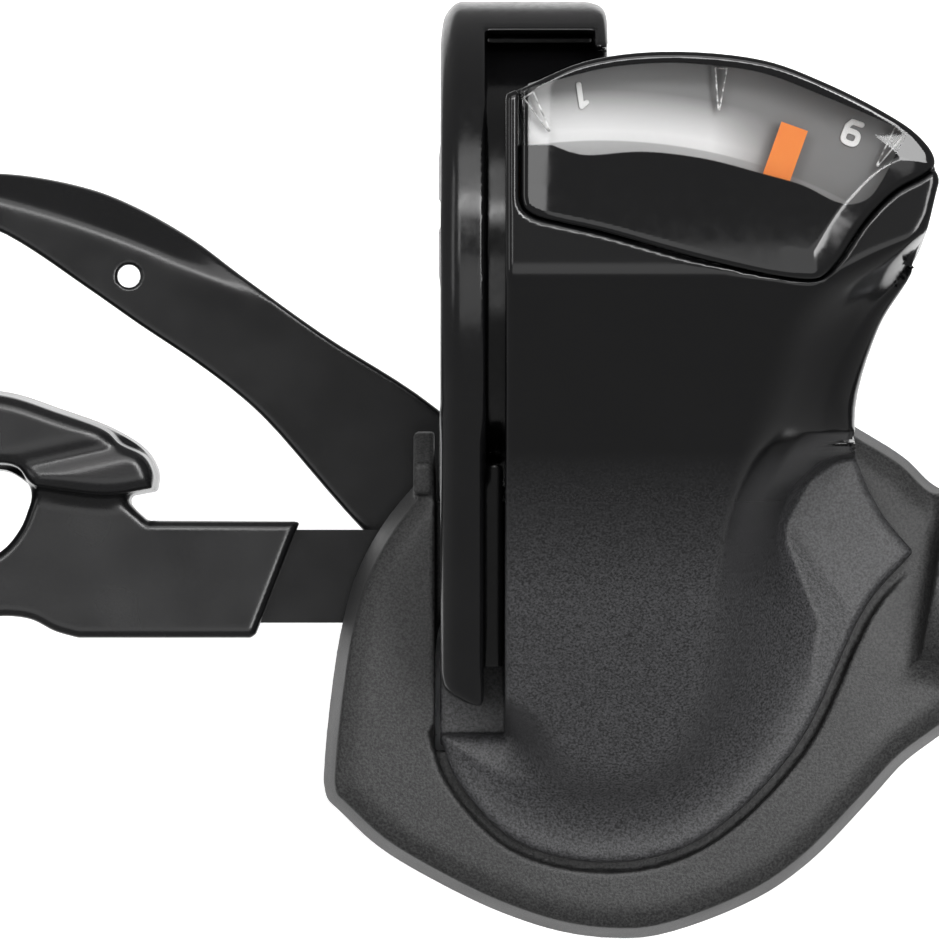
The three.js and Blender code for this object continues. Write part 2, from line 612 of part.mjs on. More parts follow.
const boltHead = lugFace + FIT;
const clampBolt = turned(boltLine, [
  [0, -lugFace - 3.2],
  [CLAMP_BOLT_RADIUS, -lugFace - 3.2],
  [CLAMP_BOLT_RADIUS, boltHead],
  [4.2, boltHead],
  [4.2, boltHead + 4.4],
  [3.8, boltHead + 4.8],
  [2.4, boltHead + 4.8],
  [2.2, boltHead + 2.2],
  [0, boltHead + 2.2],
], 24);
piece("clamp_bolt", atLugs(clampBolt), 0x9a9a9c, 0.3, 1);
const clampNut = cut(
  rod(boltLine, 4.5, -lugFace - FIT - 3.2, -lugFace - FIT, 6),
  rod(boltLine, CLAMP_BOLT_RADIUS + FIT, -30, 30, 24),
);
piece("clamp_nut", atLugs(clampNut), 0x8a8a8c, 0.35, 1);

// ---- base plate, axle and what turns on it ----
const HEAD_DEPTH = 1;
const HEAD_RADIUS = 1.9;
const HEAD_SINK = 0.1; // a sunk head's face inside the plate's
function sunkScrew(place, top) {
  return turned(place, [
    [0, PLATE_BOTTOM + HEAD_SINK],
    [HEAD_RADIUS, PLATE_BOTTOM + HEAD_SINK],
    [PIN_RADIUS, PLATE_BOTTOM + HEAD_DEPTH],
    [PIN_RADIUS, top],
    [0, top],
  ], 16);
}
function sunkHole(place) {
  return turned(place, [
    [0, PLATE_BOTTOM - 1],
    [HEAD_RADIUS + FIT + 0.2, PLATE_BOTTOM - 1],
    [HEAD_RADIUS + FIT + 0.2, PLATE_BOTTOM + HEAD_SINK],
    [PIN_RADIUS + FIT, PLATE_BOTTOM + HEAD_DEPTH + HEAD_SINK],
    [PIN_RADIUS + FIT, PLATE_TOP + 1],
    [0, PLATE_TOP + 1],
  ], 16);
}
SCREW_PLACES.forEach((place, i) =>
  piece(`cover_screw_${i + 1}`, sunkScrew(place, SCREW_TOP), 0x6a6a6c, 0.35, 1),
);
piece("bracket_screw", sunkScrew(BRACKET_SCREW, RIM + 5), 0x6a6a6c, 0.35, 1);

const travel = THREE.MathUtils.radToDeg(THUMB_TRAVEL);
const drivePin = polar(PAWL_REACH, DRIVE_PAWL);
const holdPin = polar(PAWL_REACH, HOLD_PAWL);
const slotEnd = polar(PAWL_REACH, DRIVE_PAWL + travel);
const pinSlot = join(
  sector(
    PAWL_REACH - PIN_RADIUS - RUN,
    PAWL_REACH + PIN_RADIUS + RUN,
    DRIVE_PAWL,
    DRIVE_PAWL + travel,
    PLATE_BOTTOM - 1,
    PLATE_TOP + 1,
  ),
  rod(drivePin, PIN_RADIUS + RUN, PLATE_BOTTOM - 1, PLATE_TOP + 1, 16),
  rod(slotEnd, PIN_RADIUS + RUN, PLATE_BOTTOM - 1, PLATE_TOP + 1, 16),
);
const plateLoop = inset(HOUSING_LOOP, 2.2);
const noseEnd = box(NOSE.x - 4, 60, -60, 0, -40, 0);
const basePlate = cut(
  plate(plateLoop, PLATE_BOTTOM, PLATE_TOP),
  rod(AXLE, AXLE_RADIUS + FIT, -40, 0, 28),
  rod(holdPin, PIN_RADIUS + FIT, -40, 0, 16),
  pinSlot,
  noseEnd,
  alongCable([[0, -9 - FIT], [NOSE_BLOCK + FIT, -9 - FIT], [NOSE_BLOCK + FIT, 10], [0, 10]]),
  ...SCREW_PLACES.map(sunkHole),
  sunkHole(BRACKET_SCREW),
);
piece("base_plate", basePlate, 0x8c8c90, 0.4, 1);

const AXLE_HEAD = 4.4;
const NUT_BOTTOM = HUB_TOP + 0.7;
const NUT_HEIGHT = 2.6;
const mainAxle = turned(AXLE, [
  [0, FLOOR_BOTTOM - 1.4],
  [AXLE_HEAD - 0.4, FLOOR_BOTTOM - 1.4],
  [AXLE_HEAD, FLOOR_BOTTOM - 1],
  [AXLE_HEAD, FLOOR_BOTTOM - FIT],
  [AXLE_RADIUS, FLOOR_BOTTOM - FIT],
  [AXLE_RADIUS, NUT_BOTTOM + NUT_HEIGHT + 0.4],
  [0, NUT_BOTTOM + NUT_HEIGHT + 0.4],
], 28);
piece("main_axle", mainAxle, 0xa0a0a4, 0.3, 1);
const WASHER_RADIUS = 4;
const washer = ring(AXLE, AXLE_RADIUS + 0.25, WASHER_RADIUS, HUB_TOP + 0.2, NUT_BOTTOM - 0.1, 28);
piece("axle_washer", washer, 0xb0b0b2, 0.3, 1);
const axleNut = cut(
  rod(AXLE, 4.2, NUT_BOTTOM + 0.1, NUT_BOTTOM + NUT_HEIGHT, 6),
  rod(AXLE, AXLE_RADIUS + FIT, -40, 10, 28),
);
piece("axle_nut", axleNut, 0x9a9a9c, 0.35, 1);
const spacer = ring(AXLE, AXLE_RADIUS + FIT, SPACER_RADIUS, FLOOR_TOP + FIT, PLATE_BOTTOM - FIT, 28);
piece("lever_spacer", spacer, 0xb8b08a, 0.45, 0.6);
const bush = ring(AXLE, AXLE_RADIUS + FIT, SPACER_RADIUS, PLATE_TOP + FIT, DRUM_TOP, 28);
piece("drum_bush", bush, 0xe6e2d6, 0.5, 0);

const BORE = SPACER_RADIUS + RUN;
const toothLoop = [];
for (let i = 0; i < RATCHET_TEETH; i++) {
  const pitch = 360 / RATCHET_TEETH;
  toothLoop.push(polar(RATCHET_RADIUS - 1.2, i * pitch));
  toothLoop.push(polar(RATCHET_RADIUS, i * pitch + pitch * 0.15));
}
const ratchet = cut(plate(toothLoop, RATCHET_BOTTOM, RATCHET_TOP), rod(AXLE, BORE, -40, 0, 28));
piece("ratchet_wheel", ratchet, 0x9c9ca0, 0.35, 1);
const SPRING_POCKET = 7.4;
const POCKET_FLOOR = DRUM_TOP - 1.4;
const grooveMiddle = (DRUM_TOP + DRUM_BOTTOM) / 2;
const drum = turned(AXLE, [
  [BORE, DRUM_BOTTOM],
  [DRUM_RADIUS, DRUM_BOTTOM],
  [DRUM_RADIUS, grooveMiddle - 0.9],
  [GROOVE_RADIUS, grooveMiddle - 0.4],
  [GROOVE_RADIUS, grooveMiddle + 0.4],
  [DRUM_RADIUS, grooveMiddle + 0.9],
  [DRUM_RADIUS, DRUM_TOP],
  [SPRING_POCKET, DRUM_TOP],
  [SPRING_POCKET, POCKET_FLOOR],
  [BORE, POCKET_FLOOR],
  [BORE, DRUM_BOTTOM],
], 40);
const nipplePocket = rod(polar(GROOVE_RADIUS - 0.1, 100), 1.9, DRUM_BOTTOM + 1.2, DRUM_TOP + 1, 16);
piece("cable_drum", cut(drum, nipplePocket), 0xd8d8d4, 0.5, 0);

// A flat wound spring, as a wire of square section on a spiral.
function spiralSpring(centre, inner, outer, turns, bottom, top, width) {
  const steps = Math.round(turns * 20);
  const wire = (edge) => (i) => {
    const share = i / steps;
    const radius = inner + (outer - inner - width) * share + edge;
    const angle = share * turns * 2 * Math.PI;
    return new THREE.Vector2(centre.x + radius * Math.cos(angle), centre.y + radius * Math.sin(angle));
  };
  const count = [...Array(steps + 1).keys()];
  return plate([...count.map(wire(width)), ...count.toReversed().map(wire(0))], bottom, top);
}
const STEEL_WIRE = [0x77777c, 0.35, 1];
const SPRING_WIDTH = 0.5;
const [coilIn, coilOut] = [BORE + RUN, SPRING_POCKET - RUN];
const drumSpring = spiralSpring(AXLE, coilIn, coilOut, 2.2, DRUM_TOP - 1, DRUM_TOP - 0.1, SPRING_WIDTH);
piece("drum_spring", drumSpring, ...STEEL_WIRE);
const leverSpring = (top) =>
  spiralSpring(AXLE, BORE + FIT, SPRING_POCKET, 2, top - 0.8, top - 0.2, SPRING_WIDTH);
piece("thumb_return_spring", leverSpring(THUMB_BOTTOM), ...STEEL_WIRE);
piece("release_return_spring", leverSpring(RELEASE_BOTTOM), ...STEEL_WIRE);

// ---- pawls ----
function pawl(degrees) {
  const pin = polar(PAWL_REACH, degrees);
  const loop = [
    polar(PAWL_REACH + 1.5, degrees),
    polar(PAWL_REACH - 1.5, degrees),
    polar(PAWL_REACH - 1.5, degrees + PAWL_SPAN * 0.2),
    polar(RATCHET_RADIUS + RUN + 0.4, degrees + PAWL_SPAN * 0.65),
    polar(RATCHET_RADIUS + RUN + 0.1, degrees + PAWL_SPAN),
    polar(PAWL_REACH - 0.6, degrees + PAWL_SPAN * 0.76),
    polar(PAWL_REACH + 1.2, degrees + PAWL_SPAN * 0.24),
  ];
  const blade = plate(loop.toReversed(), RATCHET_BOTTOM, RATCHET_TOP);
  const eye = rod(pin, 1.6, RATCHET_BOTTOM, RATCHET_TOP, 20);
  return cut(join(blade, eye), rod(pin, PIN_RADIUS + FIT, -40, 0, 16));
}
piece("drive_pawl", pawl(DRIVE_PAWL), 0x8e8e92, 0.35, 1);
piece("hold_pawl", pawl(HOLD_PAWL), 0x8e8e92, 0.35, 1);
const PIN_TOP = RATCHET_TOP + 1.6;
piece("drive_pawl_pin", rod(drivePin, PIN_RADIUS, THUMB_BOTTOM + 0.2, PIN_TOP, 16), 0xb0b0b4, 0.25, 1);
piece("hold_pawl_pin", rod(holdPin, PIN_RADIUS, PLATE_BOTTOM + 0.1, PIN_TOP, 16), 0xb0b0b4, 0.25, 1);
const pawlSpring = (pin) =>
  spiralSpring(pin, PIN_RADIUS + 0.15, PIN_RADIUS + 0.95, 0.9, RATCHET_TOP + 0.3, RATCHET_TOP + 1.2, 0.4);
piece("drive_pawl_spring", pawlSpring(drivePin), ...STEEL_WIRE);
piece("hold_pawl_spring", pawlSpring(holdPin), ...STEEL_WIRE);

// ---- thumb lever ----
const HUB_RADIUS = 7;
const armNear = AXLE.y + 2.4;
const armFar = AXLE.y + 8;
const SLEEVE_RIGHT = AXLE.x - 19.3;
const PAD_END = AXLE.x - THUMB_REACH;
const thumbHub = rod(AXLE, HUB_RADIUS, THUMB_BOTTOM, THUMB_TOP, 32);
const thumbArm = box(SLEEVE_RIGHT - 12, AXLE.x, armNear, armFar, THUMB_BOTTOM, THUMB_TOP);
const pawlEar = join(
  rod(drivePin, 2, THUMB_BOTTOM, THUMB_TOP, 20),
  sector(0.5, PAWL_REACH, DRIVE_PAWL - 9, DRIVE_PAWL + 9, THUMB_BOTTOM, THUMB_TOP, 4),
);
const padScrewPlace = new THREE.Vector2(SLEEVE_RIGHT - 8, (armNear + armFar) / 2);
const thumbPlate = cut(
  join(thumbHub, thumbArm, pawlEar),
  rod(AXLE, BORE, -40, 0, 28),
  rod(drivePin, PIN_RADIUS + FIT, -40, 0, 16),
  rod(padScrewPlace, PIN_RADIUS + FIT, -40, 0, 16),
);
piece("thumb_lever_arm", thumbPlate, 0x2b2b2d, 0.35, 1);

const SLEEVE_TOP = THUMB_TOP + 1.5;
const sleeveLoop = [
  [SLEEVE_RIGHT + 1.35, armFar + 0.5],
  [SLEEVE_RIGHT - 8, armFar + 0.55],
  [SLEEVE_RIGHT - 9, armFar + 2.6],
  [SLEEVE_RIGHT - 14.4, armFar + 3],
  [SLEEVE_RIGHT - 14.6, armFar + 0.5],
  [SLEEVE_RIGHT - 16.6, armFar - 1.6],
  [PAD_END + 3.4, armFar + 4.8],
  [PAD_END + 1.2, armFar + 4],
  [SLEEVE_RIGHT - 16.2, armNear + 0.6],
  [SLEEVE_RIGHT - 12, armNear - 0.9],
  [SLEEVE_RIGHT - 1.1, armNear - 0.9],
].map(([x, y]) => new THREE.Vector2(x, y));
const PAD_THICKNESS = 4.2;
const PAD_CORNER = 2.2; // the pad's near end is rounded off over this length, clear of the other lever
const padRight = SLEEVE_RIGHT - 7.6;
function padLine(x) {
  const run = padRight - 0.4 - x;
  return armFar + 3.4 + run * 0.3 - 0.008 * run ** 2;
}
function padEdge(x) {
  const past = Math.max(x - padRight + PAD_CORNER, 0) / PAD_CORNER;
  return PAD_THICKNESS / 2 - 1.5 * past ** 2;
}
const PAD_RISE = 3; // the pad's top over the sleeve's
const padBlock = moulded(
  [PAD_END, padRight, -1, 1],
  14,
  1,
  () => SLEEVE_TOP + PAD_RISE - PAD_HEIGHT,
  () => SLEEVE_TOP + PAD_RISE,
).warp((vertex) => {
  const across = vertex[1] > 0 ? padEdge(vertex[0]) : -PAD_THICKNESS / 2;
  vertex[1] = padLine(vertex[0]) + across;
});
const sleevePocket = box(
  SLEEVE_RIGHT - 12 - FIT,
  SLEEVE_RIGHT + 5,
  armNear - FIT,
  armFar + FIT,
  THUMB_BOTTOM - FIT,
  THUMB_TOP + FIT,
);
const thumbPad = cut(
  join(plate(sleeveLoop, SLEEVE_BOTTOM, SLEEVE_TOP), padBlock),
  sleevePocket,
  rod(padScrewPlace, PIN_RADIUS + FIT, SLEEVE_BOTTOM - 1, THUMB_TOP, 16),
);
piece("thumb_pad", thumbPad, 0x3a3a3c, 0.45, 0);
const padScrew = turned(padScrewPlace, [
  [0, SLEEVE_BOTTOM - 1.2],
  [1.8, SLEEVE_BOTTOM - 1.2],
  [1.8, SLEEVE_BOTTOM - FIT],
  [PIN_RADIUS, SLEEVE_BOTTOM - FIT],
  [PIN_RADIUS, THUMB_TOP - 0.1],
  [0, THUMB_TOP - 0.1],
], 16);
piece("pad_screw", padScrew, 0x6a6a6c, 0.35, 1);

// ---- release lever ----
const RELEASE_TIP = 5; // how far the tip runs on beyond the blade's drawn end
const blade = [
  [-5.2, -9.4], [-12.1, -4.9], [-17.1, -1.3], [-19.9, 0.8], [-23.2, 2.7], [-26.2, 3.9], [-31.2, 4.8],
  [-31.2 - RELEASE_TIP * 0.7, 4.6], [-31.2 - RELEASE_TIP, 3.9], [-31.2 - RELEASE_TIP * 0.9, 2.9],
  [-31.2, 1.1], [-26.2, -2.2], [-19.9, -6.5], [-15.5, -10.1], [-9.6, -16.8], [-2, -24],
];
const bladeShape = new THREE.Shape();
bladeShape.moveTo(AXLE.x, AXLE.y + HUB_RADIUS - 1);
bladeShape.splineThru(blade.map(([x, y]) => new THREE.Vector2(x, y - AXLE.y - DRAWN_REACH)));
bladeShape.lineTo(AXLE.x, AXLE.y - HUB_RADIUS + 4);
const creaseHeight = (x, y) => {
  const crease = 3.15 - 0.26 * (x + 31.2) - 0.0085 * Math.max(x + 31.2, 0) ** 2 - AXLE.y - DRAWN_REACH;
  const fade = THREE.MathUtils.clamp((-15 - x) / 6, 0, 1);
  return -Math.max(y - crease, 0) * 0.75 * fade;
};
const bladeBlock = moulded(
  [-38, 12, AXLE.y - 12, 8],
  20,
  14,
  (x, y) => RELEASE_BOTTOM + creaseHeight(x, y),
  (x, y) => RELEASE_TOP + creaseHeight(x, y),
);
const holePlace = new THREE.Vector2(-23.8, -1.4 - AXLE.y - DRAWN_REACH);
const releaseBlade = common(plate(bladeShape.getPoints(2), -60, 0), bladeBlock);
const releaseLever = cut(
  join(releaseBlade, rod(AXLE, HUB_RADIUS, RELEASE_BOTTOM, RELEASE_TOP, 32)),
  rod(AXLE, BORE, -60, 0, 28),
  rod(holePlace, 0.69, -60, 0, 16),
);
piece("release_lever", releaseLever, 0x2c2c2e, 0.4, 0.6);

// ---- bottom cover ----
const floorLoop = inset(HOUSING_LOOP, 1.4);
const WALL_TOP = PLATE_BOTTOM - FIT;
const floorWall = common(
  cut(plate(floorLoop, FLOOR_BOTTOM, WALL_TOP), plate(inset(floorLoop, 1.5), FLOOR_TOP, WALL_TOP + 1)),
  join(
    sector(0.2, 40, -92, 92, FLOOR_TOP - 1, WALL_TOP),
    box(-40, 60, -60, 10, FLOOR_BOTTOM - 1, FLOOR_TOP),
  ),
);
const bottomCover = cut(
  floorWall,
  rod(AXLE, AXLE_RADIUS + FIT, -60, 0, 28),
  barRod(BAND_RADIUS + RUN, -60, 60),
  alongCable([[0, -20], [BARREL_RADIUS + 2, -20], [BARREL_RADIUS + 2, 20], [0, 20]]),
  box(NOSE.x - 3, 60, -60, 0, -60, 0),
);
piece("bottom_cover", bottomCover, 0x3c3c3e, 0.6, 0);

// ---- cable adjuster ----
const bushing = alongCable([
  [2.1, -5], [3.6, -5], [3.6, 1.2], [4.4, 1.2], [4.4, 2], [2.1, 2], [2.1, -5],
]);
piece("adjuster_bushing", bushing, 0x9a9a9c, 0.35, 1);
const CABLE_HOLE = 1.2;
const CASING_SEAT = 2.6; // radius of the seat for the cable's casing
const barrelEnd = 2.4 + BARREL_LENGTH;
const barrelProfile = [
  [CABLE_HOLE, -3], [1.8, -3], [1.8, 2.8], [BARREL_RADIUS - 0.4, 2.8], [BARREL_RADIUS, 3.3],
  [BARREL_RADIUS, barrelEnd - 1.5], [3.6, barrelEnd],
  [CASING_SEAT, barrelEnd], [CASING_SEAT, barrelEnd - 5], [CABLE_HOLE, barrelEnd - 5],
  [CABLE_HOLE, -3],
];
const GRIPS = 10;
const gripCut = (i) => {
  const angle = (i / GRIPS) * 2 * Math.PI;
  const groove = box(-0.5, 0.5, BARREL_RADIUS - 0.5, BARREL_RADIUS + 2, 3.9, barrelEnd - 2);
  const turnedGroove = groove.rotate([0, 0, THREE.MathUtils.radToDeg(angle)]);
  const laid = turnedGroove.rotate([0, 90, 0]).rotate([0, 0, THREE.MathUtils.radToDeg(CABLE_ANGLE)]);
  return laid.translate([NOSE.x, NOSE.y, NOSE.z]);
};
const barrel = cut(alongCable(barrelProfile), ...[...Array(GRIPS).keys()].map(gripCut));
piece("adjuster_barrel", barrel, 0x1e1e20, 0.45, 0);
const detent = alongCable([[2.3, 2.2], [3.4, 2.2], [3.4, 2.6], [2.3, 2.6], [2.3, 2.2]], 24);
piece("adjuster_spring", detent, ...STEEL_WIRE);

export default part;
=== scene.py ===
# %% [markdown]
# # Two-lever trigger shifter
# The shifter hangs under the right side of a flat handlebar. Two levers wind and let go a cable drum, and a
# needle behind a curved window shows the gear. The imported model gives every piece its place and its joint.
# The cells below give the moulded pieces their true curves, every surface its finish, and the picture its
# light.

# %% Load the frame
import json
import math

import bpy
import numpy as np
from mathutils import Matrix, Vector


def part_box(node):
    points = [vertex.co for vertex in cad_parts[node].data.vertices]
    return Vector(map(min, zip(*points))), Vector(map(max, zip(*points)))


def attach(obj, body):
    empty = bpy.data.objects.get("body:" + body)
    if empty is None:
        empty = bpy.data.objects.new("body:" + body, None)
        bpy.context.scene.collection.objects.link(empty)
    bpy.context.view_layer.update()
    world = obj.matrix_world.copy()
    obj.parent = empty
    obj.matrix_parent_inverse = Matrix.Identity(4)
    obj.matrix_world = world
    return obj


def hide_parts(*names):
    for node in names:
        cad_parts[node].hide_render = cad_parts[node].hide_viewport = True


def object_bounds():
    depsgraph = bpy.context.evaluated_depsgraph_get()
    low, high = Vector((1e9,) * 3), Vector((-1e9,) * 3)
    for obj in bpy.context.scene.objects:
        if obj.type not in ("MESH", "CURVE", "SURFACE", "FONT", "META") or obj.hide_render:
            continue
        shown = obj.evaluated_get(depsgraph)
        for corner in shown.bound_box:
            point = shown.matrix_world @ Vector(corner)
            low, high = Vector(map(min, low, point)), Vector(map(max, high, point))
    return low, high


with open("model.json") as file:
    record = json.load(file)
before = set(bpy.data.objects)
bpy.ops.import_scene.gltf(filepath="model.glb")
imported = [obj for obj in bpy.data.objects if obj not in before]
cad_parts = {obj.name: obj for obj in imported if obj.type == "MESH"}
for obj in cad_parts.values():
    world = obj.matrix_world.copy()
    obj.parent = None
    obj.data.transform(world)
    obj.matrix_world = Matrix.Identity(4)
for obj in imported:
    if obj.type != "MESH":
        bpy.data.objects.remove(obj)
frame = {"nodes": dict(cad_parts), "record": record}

cad_box = [list(corner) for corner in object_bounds()]

# %% [markdown]
# ## Camera
# The picture looks straight down on the display side, as a catalogue picture does, with the levers running
# out on the left. A long lens far away keeps the walls of the moulding from leaning, and lets the side wall
# show only where it is drafted.

# %% Camera
MM = 0.001
SEEN_WIDTH = 55.9 * MM
CAMERA_HEIGHT = 1500 * MM
camera = bpy.data.objects.new("camera", bpy.data.cameras.new("camera"))
bpy.context.collection.objects.link(camera)
camera.data.lens = camera.data.sensor_width * CAMERA_HEIGHT / SEEN_WIDTH
camera.data.clip_end = 100
camera.location = (-3.24 * MM, -13.07 * MM, CAMERA_HEIGHT)
bpy.context.scene.camera = camera
print("lens", round(camera.data.lens), "mm")

# %% [markdown]
# ## Where things are
# The handlebar's axis runs along X through the origin. Levels and centres come from the boxes of the packed
# nodes, in millimetres, so that a moulding drawn here sits on the mechanism inside it.

# %% Places read from the frame
def box_of(node):
    low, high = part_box(node)
    return np.array(low) / MM, np.array(high) / MM


def centre_of(node):
    low, high = box_of(node)
    return (low + high) / 2


AXLE_X, AXLE_Y = centre_of("main_axle")[:2]
BAND_LEFT, BAND_RIGHT = box_of("clamp_bracket")[0][0], box_of("clamp_bracket")[1][0]
BAND_RADIUS = box_of("clamp_bracket")[1][2]
BAR_RADIUS = BAND_RADIUS - 3.75  # the band's wall is 3.75 mm
CHANNEL_RADIUS = BAND_RADIUS - 2.5
TONGUE_BOTTOM = box_of("top_cover")[0][2] + 0.5  # the shelf in the cover's slot reaches lower
TONGUE_TOP = TONGUE_BOTTOM + 1.4
HOUSING_TOP = TONGUE_TOP - 0.2
RIM = box_of("base_plate")[1][2] + 0.3
LENS_BOTTOM, LENS_TOP = box_of("display_lens")[0][2], box_of("display_lens")[1][2]
COVER_LEFT = AXLE_X - 5.63
ARM_RIGHT = BAND_LEFT + 2.6
print("axle at", round(AXLE_X, 2), round(AXLE_Y, 2), "bar radius", round(BAR_RADIUS, 2))

# %% [markdown]
# ## Moulded shapes as distance fields
# A moulding is a solid with soft edges, fillets and cut-outs all over. One way is to model it by hand with
# subdivision; another is to write down, for every point in space, how far it is from the surface. Fields
# like that are joined, cut and rounded with short formulas, and a skin is then laid where the distance is
# zero. That keeps every radius a number, so it is the way used for the nylon pieces and the clamp.

# %% Outlines and distances
def smooth_run(points, steps):
    """A centripetal curve through the points; the first point is left out."""
    line = np.array(points, float)
    before, after = 2 * line[0] - line[1], 2 * line[-1] - line[-2]
    line = np.vstack([before, line, after])
    out = []
    for a, b, c, d in zip(line, line[1:], line[2:], line[3:]):
        t0, t1 = 0.0, np.linalg.norm(b - a) ** 0.5
        t2 = t1 + np.linalg.norm(c - b) ** 0.5
        t3 = t2 + np.linalg.norm(d - c) ** 0.5
        for t in np.linspace(t1, t2, steps + 1)[1:]:
            ab = (t1 - t) / (t1 - t0) * a + (t - t0) / (t1 - t0) * b
            bc = (t2 - t) / (t2 - t1) * b + (t - t1) / (t2 - t1) * c
            cd = (t3 - t) / (t3 - t2) * c + (t - t2) / (t3 - t2) * d
            abc = (t2 - t) / (t2 - t0) * ab + (t - t0) / (t2 - t0) * bc
            bcd = (t3 - t) / (t3 - t1) * bc + (t - t1) / (t3 - t1) * cd
            out.append((t2 - t) / (t2 - t1) * abc + (t - t1) / (t2 - t1) * bcd)
    return out


def outline(start, *runs, steps=6):
    """A closed loop: each run is a smooth curve, and where two runs meet there is a corner."""
    loop = [np.array(start, float)]
    for run in runs:
        loop += smooth_run([loop[-1], *run], steps if len(run) > 1 else 1)
    if np.linalg.norm(loop[0] - loop[-1]) < 1e-6:
        loop.pop()
    return np.array(loop)


def signed_distance(loop, x, y):
    """How far each point is from a closed loop, negative inside it."""
    x, y = np.broadcast_arrays(x, y)
    nearest = np.full(x.shape, 1e9)
    inside = np.zeros(x.shape, bool)
    for (ax, ay), (bx, by) in zip(loop, np.roll(loop, -1, 0)):
        run_x, run_y = bx - ax, by - ay
        share = ((x - ax) * run_x + (y - ay) * run_y) / max(run_x**2 + run_y**2, 1e-12)
        share = np.clip(share, 0, 1)
        nearest = np.minimum(nearest, (x - ax - share * run_x) ** 2 + (y - ay - share * run_y) ** 2)
        if ay != by:
            inside ^= ((ay > y) != (by > y)) & (x < run_x * (y - ay) / run_y + ax)
    return np.where(inside, -1, 1) * np.sqrt(nearest)


# %% Joining, cutting and rounding
def common(a, b, radius=0.0):
    """What two solids share, with the new edge rounded."""
    corner = np.hypot(np.maximum(a + radius, 0), np.maximum(b + radius, 0))
    return np.minimum(np.maximum(a, b), -radius) + corner


def joined(a, b, radius=0.0):
    """Both solids, with a fillet of that radius between them."""
    return -common(-a, -b, radius)


def without(a, b, radius=0.0):
    return common(a, -b, radius)


def block(x, y, z, low, high):
    sides = [np.maximum(low[i] - v, v - high[i]) for i, v in enumerate((x, y, z))]
    return np.maximum(np.maximum(sides[0], sides[1]), sides[2])


def pin(x, y, z, centre, radius, bottom=-60, top=60):
    """An upright cylinder."""
    round_side = np.hypot(x - centre[0], y - centre[1]) - radius
    return np.maximum(round_side, np.maximum(bottom - z, z - top))


def soft_min(a, b, width):
    mix = np.maximum(width - np.abs(a - b), 0) / width
    return np.minimum(a, b) - mix * mix * width / 4


def soft_max(a, b, width):
    return -soft_min(-a, -b, width)


# %% [markdown]
# ### Laying the skin
# The space round a piece is divided into small cells. Each cell that the surface crosses gets one point, at
# the middle of the places where it crosses the cell's edges, and neighbouring points are joined by quads.
# The shading direction at each point is taken from the field itself, so that gloss runs over the moulding
# without ripples.

# %% Skin of a field
def corner_values(values, cells, shift):
    return values[cells[:, 0] + shift[0], cells[:, 1] + shift[1], cells[:, 2] + shift[2]]


def crossing_points(values, cells):
    total, hits = np.zeros((len(cells), 3)), np.zeros(len(cells))
    for axis in range(3):
        for side in range(4):
            shift = np.zeros(3, int)
            shift[(axis + 1) % 3], shift[(axis + 2) % 3] = side % 2, side // 2
            far = shift.copy()
            far[axis] = 1
            here, there = corner_values(values, cells, shift), corner_values(values, cells, far)
            crosses = (here < 0) != (there < 0)
            share = here[crosses] / (here[crosses] - there[crosses])
            point = (cells[crosses] + shift).astype(float)
            point[:, axis] += share
            total[crosses] += point
            hits[crosses] += 1
    return total / hits[:, None]


def skin_faces(solid, numbers):
    faces = []
    for axis in range(3):
        u, v = (axis + 1) % 3, (axis + 2) % 3
        near = np.take(solid, range(solid.shape[axis] - 1), axis)
        far = np.take(solid, range(1, solid.shape[axis]), axis)
        edges = np.argwhere(near != far)
        edges = edges[(edges[:, u] > 0) & (edges[:, v] > 0)]
        edges = edges[(edges[:, u] < numbers.shape[u]) & (edges[:, v] < numbers.shape[v])]
        leaving = near[tuple(edges.T)]
        step_u, step_v = np.eye(3, dtype=int)[u], np.eye(3, dtype=int)[v]
        ring = [edges, edges - step_u, edges - step_u - step_v, edges - step_v]
        quads = np.stack([numbers[tuple(cell.T)] for cell in ring], 1)
        faces += [quads[leaving], quads[~leaving][:, ::-1]]
    return np.vstack(faces)


def slope_at(values, points):
    """The field's slope, between the grid points round each point."""
    low = np.clip(np.floor(points).astype(int), 1, np.array(values.shape) - 3)
    share = points - low
    total = np.zeros_like(points)
    for corner in range(8):
        shift = np.array([corner & 1, corner >> 1 & 1, corner >> 2 & 1])
        weight = np.prod(np.where(shift, share, 1 - share), 1)
        for axis in range(3):
            step = np.eye(3, dtype=int)[axis]
            rise = corner_values(values, low, shift + step) - corner_values(values, low, shift - step)
            total[:, axis] += weight * rise
    return total / np.maximum(np.linalg.norm(total, axis=1, keepdims=True), 1e-9)


def skin(name, field, low, high, cell):
    axes = [np.arange(a, b + cell, cell) for a, b in zip(low, high)]
    x, y, z = axes[0][:, None, None], axes[1][None, :, None], axes[2][None, None, :]
    shape = tuple(len(axis) for axis in axes)
    values = np.broadcast_to(field(x, y, z), shape).astype(np.float32)
    solid = values < 0
    inside = sum(
        solid[i : shape[0] - 1 + i, j : shape[1] - 1 + j, k : shape[2] - 1 + k].astype(np.int8)
        for i in (0, 1) for j in (0, 1) for k in (0, 1)
    )
    mixed = (inside > 0) & (inside < 8)
    cells = np.argwhere(mixed)
    numbers = np.full(mixed.shape, -1)
    numbers[mixed] = np.arange(len(cells))
    points = crossing_points(values, cells)
    faces = skin_faces(solid, numbers)
    mesh = bpy.data.meshes.new(name)
    mesh.from_pydata(((points * cell + np.array(low)) * MM).tolist(), [], faces.tolist())
    mesh.shade_smooth()
    mesh.normals_split_custom_set_from_vertices(slope_at(values, points).tolist())
    piece = bpy.data.objects.new(name, mesh)
    bpy.context.collection.objects.link(piece)
    print(name, len(points), "points,", len(faces), "faces")
    return piece


def take_place(piece, node, body, material):
    """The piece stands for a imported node, rides on its body and gets its finish."""
    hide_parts(node)
    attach(piece, body)
    piece.data.materials.append(material)


